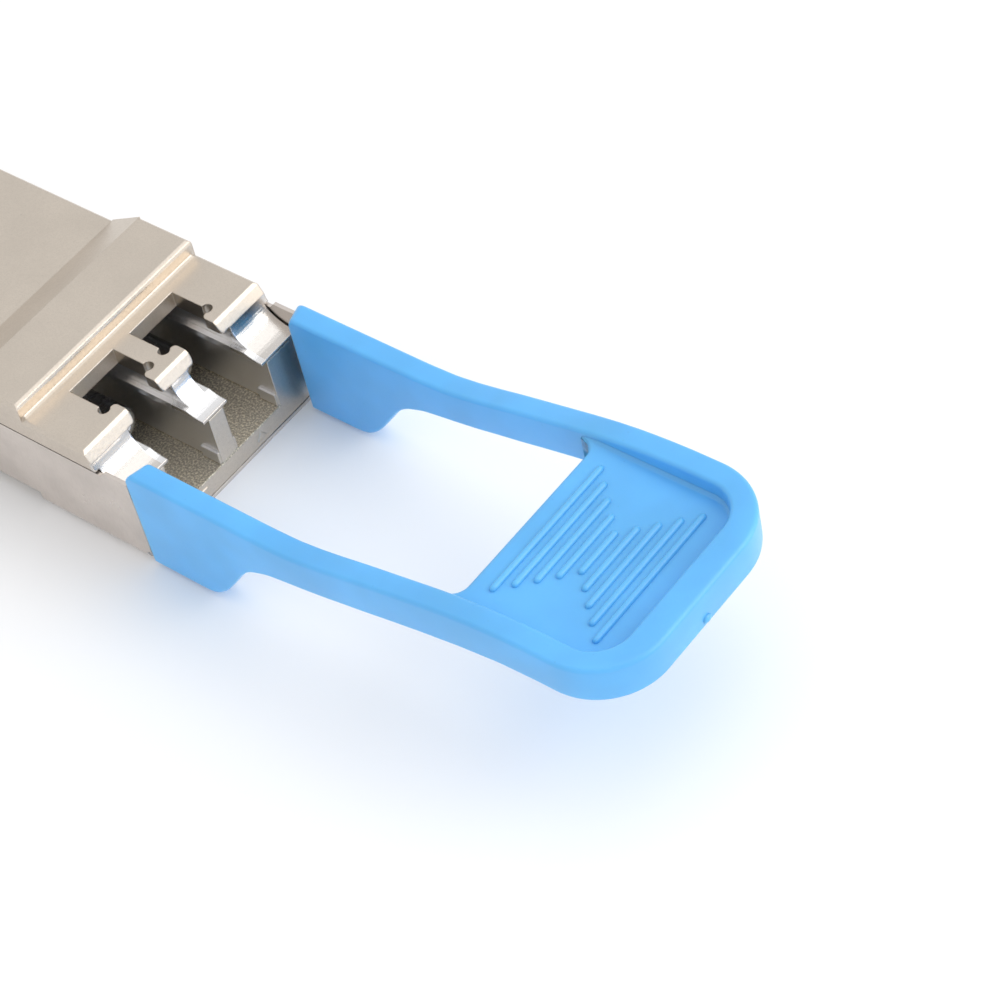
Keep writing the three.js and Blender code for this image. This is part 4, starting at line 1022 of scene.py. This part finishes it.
    def ribs(self) -> Skin:
        """Grip ribs: half-sunk ellipses along each rib, closing to a point at both ends.

        Returns:
            One closed shell for each rib.
        """
        stations, around = self.rib_grid
        place = -np.cos(np.linspace(0.0, math.pi, stations))
        angle = np.linspace(0.0, 2 * math.pi, around, endpoint=False)
        order = np.arange(self.rib_count)
        middle = (self.rib_count - 1) / 2
        half = self.rib_longest - self.rib_step * (middle - np.abs(order - middle))
        from_tip = half[:, None] * (1.0 - np.abs(place))[None, :]
        short = 1.0 - np.clip(from_tip / self.rib_bow, 0.0, 1.0)
        fade = np.sqrt(np.clip(1.0 - short**2, 1e-6, 1.0))
        x = self.rib_first + self.rib_pitch * order[:, None, None] - (
            self.rib_half_width * fade[..., None] * np.cos(angle)
        )
        y = np.broadcast_to((half[:, None] * place[None, :])[..., None], x.shape)
        z = self.pad_top + self.rib_height * fade[..., None] * np.sin(angle)
        rings = np.stack([x, y, z], axis=-1)
        made = capped_rings(rings[0])
        for ring in rings[1:]:
            made = made.joined(capped_rings(ring))
        return made

    def gate(self) -> Skin:
        """The moulding gate's nub on the tip: a small ellipsoid, latitude by longitude.

        Returns:
            The closed nub, half sunk in the tip.
        """
        rings, around = self.gate_grid
        steepest = math.pi / 2 - self.gate_pole
        latitude = np.linspace(-steepest, steepest, rings)[:, None]
        longitude = np.linspace(0.0, 2 * math.pi, around, endpoint=False)[None, :]
        place_y, place_z = self.gate_place
        half_x, half_y, half_z = self.gate_half
        x = self.tip + half_x * np.cos(latitude) * np.cos(longitude)
        y = place_y + half_y * np.cos(latitude) * np.sin(longitude)
        z = np.broadcast_to(place_z + half_z * np.sin(latitude), x.shape)
        return capped_rings(np.stack([x, y, z], axis=-1))

    def build(self) -> bpy.types.Object:
        """Makes the tab and dresses it.

        Returns:
            The piece, which stands for the CAD tab.
        """
        skin = self.rim().joined(self.pad()).joined(self.ribs()).joined(self.gate())
        made = skin.piece("pull_tab_moulding", Body.SLIDER, Slot.BLUE_TAB)
        made.data.materials.append(BLUE_TAB.build())
        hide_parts("pull_tab")
        return made


# ---- return springs ---------------------------------------------------------------------


@dataclass
class ReturnSprings:
    """Two small compression springs beside the ports, with closed end turns.

    The wire's radius and the coil's radius are in millimetres.
    """

    turns: float = 7.0
    dead_turns: float = 1.0
    dead_pitch: float = 2.1
    wire: float = 0.13
    radius: float = 0.6
    keep: float = 0.42
    around: int = 10
    per_turn: int = 28

    def coil(self, low: Vector, high: Vector) -> Skin:
        """A wire carried along a helix whose pitch is small in the end turns.

        The wire advances by little more than its own thickness in each end turn.

        Args:
            low: lowest corner of the CAD spring, in metres.
            high: highest corner.

        Returns:
            The closed wire.
        """
        count = int(self.turns * self.per_turn)
        share = np.linspace(0.0, 1.0, count)
        angle = 2 * math.pi * self.turns * share
        dead = self.dead_turns / self.turns
        live = np.clip((share - dead) / (1.0 - 2 * dead), 0.0, 1.0)
        closed = self.dead_pitch * self.wire * self.dead_turns
        first_turn = np.clip(share / dead, 0.0, 1.0)
        last_turn = np.clip((share - 1.0 + dead) / dead, 0.0, 1.0)
        ends = (first_turn + last_turn) * closed
        start = low.x / MM - PORT_FACE + self.wire
        length = (high.x - low.x) / MM - 2 * self.wire
        x = start + ends + live * (length - 2 * closed)
        middle = (low + high) / 2 / MM
        outward = np.stack([np.zeros(count), np.cos(angle), np.sin(angle)], axis=1)
        axis = np.stack([x, np.full(count, middle.y), np.full(count, middle.z)], axis=1)
        centre = axis + self.radius * outward
        forward = np.gradient(centre, axis=0)
        forward /= np.linalg.norm(forward, axis=1)[:, None]
        side = np.cross(forward, outward)
        turn = np.linspace(0.0, 2 * math.pi, self.around, endpoint=False)[None, :, None]
        section = np.cos(turn) * outward[:, None, :] + np.sin(turn) * side[:, None, :]
        return capped_rings(centre[:, None, :] + self.wire * section)

    def build(self) -> list[bpy.types.Object]:
        """Makes both springs and lets them ride on the housing.

        Returns:
            The two pieces, which stand for the CAD springs.
        """
        finish = SPRING_WIRE.build()
        made = []
        for label in ("near", "far"):
            low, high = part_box(f"return_spring_{label}")
            coil = self.coil(low, high)
            piece = coil.piece(f"return_coil_{label}", Body.HOUSING, Slot.SPRING_STEEL)
            piece.data.materials.append(finish)
            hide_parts(f"return_spring_{label}")
            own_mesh(piece)
            made.append(piece)
        return made


# ---- housing ----------------------------------------------------------------------------


@dataclass
class Housing:
    """The two castings, the seam gaskets and the four screws under the floor."""

    castings: tuple[str, ...] = ("top_housing", "bottom_housing")
    gaskets: tuple[str, ...] = ("seam_gasket_near", "seam_gasket_far")
    screw_count: int = 4
    lobes: int = 6
    lobe_depth: float = 0.17
    shaft_share: float = 0.56
    around: int = 72

    def screw(self, low: Vector, high: Vector) -> Skin:
        """A screw turned about its axis, with a lobed socket.

        Each row of the profile is a ring's radius, its height and whether it waves: the
        socket's rings have a radius that waves once for each lobe, the others are circles.

        Args:
            low: lowest corner of the CAD screw, in metres.
            high: highest corner.

        Returns:
            The closed screw, head down.
        """
        bottom, top = low.z / MM, high.z / MM
        head = (high.x - low.x) / 2 / MM
        shaft = head * self.shaft_share
        profile = np.array([
            [0.02, bottom + 0.34, 1.0], [0.50, bottom + 0.30, 1.0], [0.56, bottom + 0.02, 1.0],
            [0.60, bottom, 1.0], [head - 0.14, bottom, 0.0], [head, bottom + 0.12, 0.0],
            [head, bottom + 0.5, 0.0], [shaft, bottom + 0.5, 0.0], [shaft, top - 0.35, 0.0],
            [shaft * 0.6, top, 0.0], [0.02, top, 0.0],
        ])
        angle = np.linspace(0.0, 2 * math.pi, self.around, endpoint=False)
        wave = 1.0 + self.lobe_depth * profile[:, 2:] * np.cos(self.lobes * angle)[None, :]
        radius = profile[:, :1] * wave
        x = (low.x + high.x) / 2 / MM - PORT_FACE + radius * np.cos(angle)
        y = (low.y + high.y) / 2 / MM - radius * np.sin(angle)
        z = np.broadcast_to(profile[:, 1:2], x.shape)
        return capped_rings(np.stack([x, y, z], axis=-1))

    def build(self) -> list[bpy.types.Object]:
        """Dresses the castings and gaskets, and makes the screws.

        Returns:
            The new screws.
        """
        dress(self.castings, CAST_NICKEL.build())
        dress(self.gaskets, SILICONE.build())
        finish = TURNED_STEEL.build()
        made = []
        for number in range(1, self.screw_count + 1):
            name = f"housing_screw_{number}"
            screw = self.screw(*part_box(name))
            piece = screw.piece(f"lobed_screw_{number}", Body.HOUSING, Slot.STEEL, smooth=False)
            piece.data.materials.append(finish)
            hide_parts(name)
            made.append(piece)
        return made


def dress(names: Sequence[str], material: bpy.types.Material) -> None:
    """Gives one finish to several CAD nodes.

    Args:
        names: the nodes.
        material: the finish.
    """
    for name in names:
        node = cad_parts[name]
        node.data.materials.clear()
        node.data.materials.append(material)
        LOG.info("dressed %s in %s", name, material.name)


# ---- the inside -------------------------------------------------------------------------


@dataclass
class Optics:
    """What the two fibre ports hold: sleeves, ceramic stubs, packages, flexes and thermal pads."""

    sides: tuple[str, ...] = ("receive", "transmit")

    def build(self) -> None:
        """Dresses the optical pieces."""
        finishes = {
            "sleeve": TURNED_STEEL.build(),
            "fibre_stub": CERAMIC.build(),
            "package": GOLD_PLATE.build(),
            "flex": POLYIMIDE.build(),
            "thermal_pad": SILICONE.build(),
        }
        for part, material in finishes.items():
            dress([f"{side}_{part}" for side in self.sides], material)
        dress(["sleeve_clamp"], finishes["sleeve"])


@dataclass
class Electronics:
    """The main board with its contacts and the parts on it."""

    chips: tuple[str, ...] = (
        "processor_chip", "laser_driver_chip", "receiver_amplifier_chip",
        "controller_chip", "power_converter_chip", "memory_chip",
    )

    def build(self) -> None:
        """Dresses the board and its parts."""
        dress(["main_board"], BOARD.build())
        dress(["contacts_top", "contacts_bottom"], GOLD_PLATE.build())
        dress(self.chips, EPOXY.build())
        dress(["power_inductor"], FERRITE.build())
        dress(["processor_thermal_pad"], SILICONE.build())


# ---- studio -----------------------------------------------------------------------------


@dataclass
class SoftLight:
    """One square soft light aimed at a point near the port."""

    place: tuple[float, float, float]
    size: float
    power: float
    colour: Colour = (1.0, 1.0, 1.0)

    def build(self, name: str, target: Vector) -> None:
        """Adds the light.

        Args:
            name: the light's name.
            target: the point it is aimed at, in metres.
        """
        lamp = bpy.data.lights.new(name, "AREA")
        lamp.size = self.size
        lamp.energy = self.power
        lamp.color = self.colour
        holder = bpy.data.objects.new(name, lamp)
        holder.location = target + Vector(self.place)
        holder.rotation_mode = "QUATERNION"
        holder.rotation_quaternion = (-Vector(self.place)).to_track_quat("-Z", "Y")
        bpy.context.scene.collection.objects.link(holder)


@dataclass
class Studio:
    """Pale floor, soft lights and the camera above the tab's near side.

    The camera's angles are in degrees; its distance, pans and lens are in millimetres. The
    floor's half width and the clip distances are in metres.
    """

    azimuth: float = 48.034
    elevation: float = 48.142
    roll: float = -13.841
    distance: float = 217.03
    pan_right: float = -18.557
    pan_up: float = 1.742
    focal: float = 110.87
    sensor: float = 36.0
    clip: tuple[float, float] = (0.01, 20.0)
    floor_half: float = 3.0
    floor_tones: tuple[Colour, Colour] = ((0.95, 0.95, 0.955), (0.91, 0.91, 0.92))
    floor_fibre: float = 0.15
    floor_roughness: float = 0.9
    sky: Colour = (0.985, 0.99, 1.0)
    sky_strength: float = 0.93
    lights: dict[str, SoftLight] = field(default_factory=lambda: {
        "key": SoftLight((0.45, 0.27, 0.30), 0.45, 1.5, (1.0, 0.99, 0.97)),
        "overhead": SoftLight((0.05, 0.20, 0.55), 0.40, 0.35),
    })

    def camera(self) -> None:
        """Places the camera: turned about the port face by its three angles, then panned."""
        angles = (self.azimuth, self.elevation, self.roll)
        turn, lift, roll = (math.radians(angle) for angle in angles)
        level_back = Vector((math.sin(turn), -math.cos(turn), 0.0)) * math.cos(lift)
        back = level_back + Vector((0.0, 0.0, math.sin(lift)))
        level = Vector((0.0, 0.0, 1.0)).cross(back).normalized()
        upright = back.cross(level)
        right = math.cos(roll) * level + math.sin(roll) * upright
        up = -math.sin(roll) * level + math.cos(roll) * upright
        place = -self.pan_right * right - self.pan_up * up + self.distance * back
        place = (place + Vector((PORT_FACE, 0.0, 0.0))) * MM
        lens = bpy.data.cameras.new("camera")
        lens.sensor_width = self.sensor
        lens.lens = self.focal
        lens.clip_start, lens.clip_end = self.clip
        camera = bpy.data.objects.new("camera", lens)
        turned = Matrix((right, up, back)).transposed().to_4x4()
        camera.matrix_world = Matrix.Translation(place) @ turned
        bpy.context.scene.collection.objects.link(camera)
        bpy.context.scene.camera = camera

    def floor(self) -> None:
        """A wide pale floor under the nose."""
        mesh = bpy.data.meshes.new("floor")
        corners = np.array([[-1, -1, 0], [1, -1, 0], [1, 1, 0], [-1, 1, 0]]) * self.floor_half
        mesh.from_pydata(corners.tolist(), [], [[0, 1, 2, 3]])
        made = bpy.data.objects.new("floor", mesh)
        bpy.context.scene.collection.objects.link(made)
        graph = Graph("floor_paper")
        fibre = graph.noise(1.5, 3.0)
        tone = graph.blend(fibre * self.floor_fibre, *self.floor_tones)
        paper = graph.surface({"Base Color": tone, "Roughness": self.floor_roughness})
        mesh.materials.append(paper)

    def build(self) -> None:
        """Sets up the world, the lights, the floor and the camera."""
        scene = bpy.context.scene
        world = bpy.data.worlds.new("studio")
        world.use_nodes = True
        background = world.node_tree.nodes["Background"]
        background.inputs["Color"].default_value = (*self.sky, 1.0)
        background.inputs["Strength"].default_value = self.sky_strength
        scene.world = world
        scene.view_settings.view_transform = "Standard"
        target = Vector((PORT_FACE * MM, 0.0, 0.0))
        for name, light in self.lights.items():
            light.build(name, target)
        self.floor()
        self.camera()


def main() -> None:
    """Builds every sub-assembly in order and reports the pieces."""
    logging.basicConfig(level=logging.INFO, format="%(name)s: %(message)s")
    Studio().build()
    Optics().build()
    Electronics().build()
    dress(["latch_slider"], LATCH_SHEET.build())
    made = Housing().build() + ReturnSprings().build() + [PullTab().build()]
    for piece in made:
        LOG.info("%s has %d faces", piece.name, len(piece.data.polygons))


if __name__ == "__main__":
    main()
